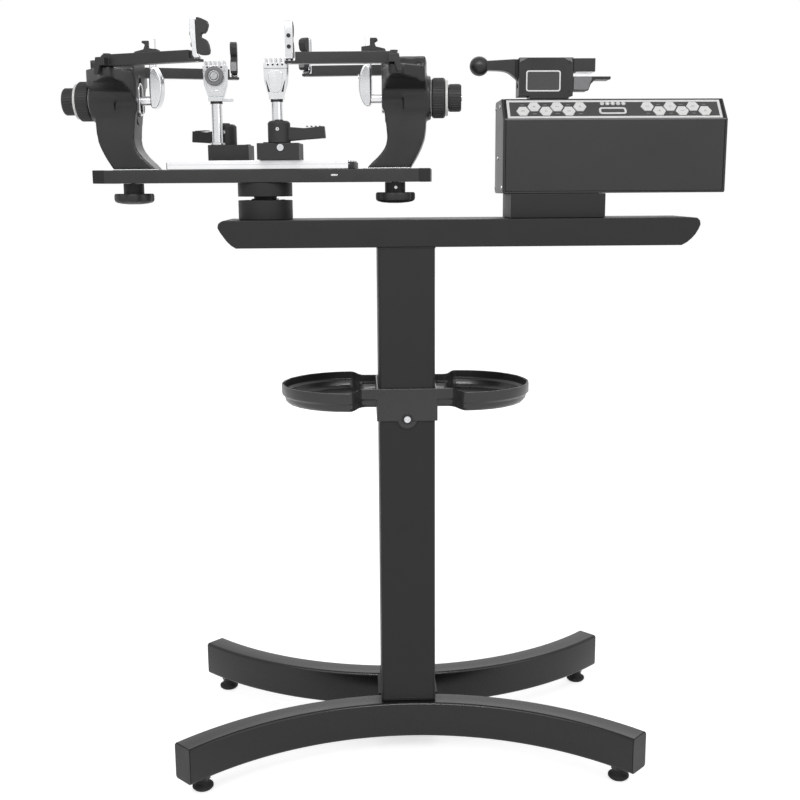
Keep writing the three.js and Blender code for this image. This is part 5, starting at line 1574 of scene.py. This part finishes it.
    def back_face(self) -> None:
        """Builds the vent's slats and sets the screws in the back of the cover."""
        back = self.half_depth
        slats = Shape()
        for index in range(9):
            slats.prism(Axis.Y, rounded((2.0, 14), 1.9, (190 + index * self.vent_pitch, 872)),
                        (back - 0.1, back + 0.35))
        self.machine.add("vent_slats", slats, Finishes.RUBBER)
        points = [(x, back - 0.05, z) for x in (148, 435) for z in (836, 943)]
        self.machine.screws("cover_screws", points, (0, 1, 0), 3.0, 1.3, Finishes.BLACK_OXIDE)

    def build(self) -> None:
        """Builds the trims of the tension head."""
        self.print_panel()
        self.mark_keys()
        self.display()
        self.end_plate(Side.LEFT, self.left, Finishes.GREY_ENAMEL)
        self.end_plate(Side.RIGHT, self.right, Finishes.ENAMEL)
        self.slot_lips()
        self.power_inlet()
        self.back_face()


@dataclass
class Gripper(Assembly):
    """The trims of the gripper: bare badge, jaw facings, pins and painted highlights on the chamfers."""

    half_depth: float = 16.0
    badge_place: Place = (194.2, 978.4)
    # the side of the fixed jaw
    jaw_side: Outline = ((237.2, 966.5), (256.0, 966.3), (258.2, 968.0), (260.2, 976.0), (262.5, 980.6),
                         (262.5, 983.6), (237.2, 984.3))
    pin_places: Outline = ((164.8, 1003.5), (230.5, 1003.5), (230.5, 964.0), (164.8, 964.0))
    # each chamfer with a painted highlight: its corner and its tip along the machine
    chamfers: Outline = ((161.0, 171.5), (234.0, 222.5))

    def cheek(self, carriage: Mount) -> None:
        """Prints the bare badge on the front cheek, and paints highlights on the chamfers at its upper
        corners.
        """
        front, sunk = -self.half_depth, -self.half_depth + 0.1
        middle = self.badge_place
        line = Shape().band(Axis.Y, rounded((24.2, 14.2), 3.4, middle), rounded((22.4, 12.4), 2.2, middle),
                            (front - 0.18, sunk))
        carriage.add("badge_line", line, Finishes.INK)
        plate = Shape().prism(Axis.Y, rounded((22.3, 12.3), 2.2, middle), (front - 0.1, sunk))
        carriage.add("badge_plate", plate, Finishes.FILM)
        # light grey triangles of painted highlight where the upper corners' chamfers catch the light
        highlight_facets = Shape()
        for corner, tip in self.chamfers:
            highlight_facets.prism(Axis.Y, [(corner, 1009.2), (tip, 1009.2), (corner, 1003.4)], (front - 0.14, sunk))
        carriage.add("cheek_chamfers", highlight_facets, Finishes.RUBBED)

    def jaws(self, carriage: Mount) -> None:
        """Puts grip plates on both jaws."""
        low = Shape().slab((240, -13.5, 984.3), (266, 13.5, 985.3))
        carriage.add("grip_plate_lower", low, Finishes.SATIN, 0.2)
        high = Shape().slab((240, -13.5, 990.0), (265, 13.5, 991.2))
        carriage.on("gripper_jaw").add("grip_plate_upper", high, Finishes.SATIN, 0.2)

    def build(self) -> None:
        """Builds the trims of the gripper, with blasted facings and pin ends on both cheeks."""
        carriage = Mount(self.shop, self.layout.machine, "gripper")
        self.cheek(carriage)
        self.jaws(carriage)
        for row in Row:
            facing = Shape().prism(Axis.Y, self.jaw_side, row.span(14.9, 15.4))
            carriage.add(f"jaw_facing_{row.word}", facing, Finishes.BLASTED, 0.2)
            points = [(x, row.value * (self.half_depth - 0.1), z) for x, z in self.pin_places]
            carriage.screws(f"gripper_pins_{row.word}", points, (0, row.value, 0), 2.2, 0.5,
                            Finishes.BLACK_OXIDE)


@dataclass
class ColumnTrims(Assembly):
    """What is fixed to the column: the tray's clamp screw and the weld beads."""

    screw_height: float = 509.0
    # the heights of the beads at the foot and the head
    beads: Sequence[tuple[str, float]] = (("foot", 80.6), ("head", 751.0))

    def build(self) -> None:
        """Sets the bright screw with its dark washer, and runs a bead round the foot and under the beam."""
        machine = Mount(self.shop, self.layout.machine)
        washer = Shape().washer(Axis.Y, (3.1, 8.0), (-64.1, -63.1), (0, self.screw_height))
        machine.add("tray_washer", washer, Finishes.BLACK_OXIDE, 0.3)
        machine.screws("tray_screw", [(0, -64.0, self.screw_height)], (0, -1, 0), 4.6, 2.4)
        for name, height in self.beads:
            bead = Shape().band(Axis.Z, rounded((40.8, 60.8), 5.6), rounded((39.6, 59.6), 4.6),
                                (height - 0.9, height + 0.9))
            machine.add(f"weld_{name}", bead, Finishes.POWDER_COAT, 0.5)


def main() -> None:
    """Builds the studio and dresses every sub-assembly."""
    logging.basicConfig(level=logging.INFO, format="%(name)s: %(message)s")
    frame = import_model()
    layout = Layout.read()
    shop = Workshop(frame)
    Studio(layout).build()
    Metalwork(shop).build()
    BaseFrame(shop, layout).build()
    Turntable(shop, layout).build()
    for side in Side:
        RacketPost(shop, layout, side).build()
        ClampStation(shop, layout, side).build()
        for row in Row:
            RacketArm(shop, layout, row, side).build()
    TensionHead(shop, layout).build()
    Gripper(shop, layout).build()
    ColumnTrims(shop, layout).build()


if __name__ == "__main__":
    main()
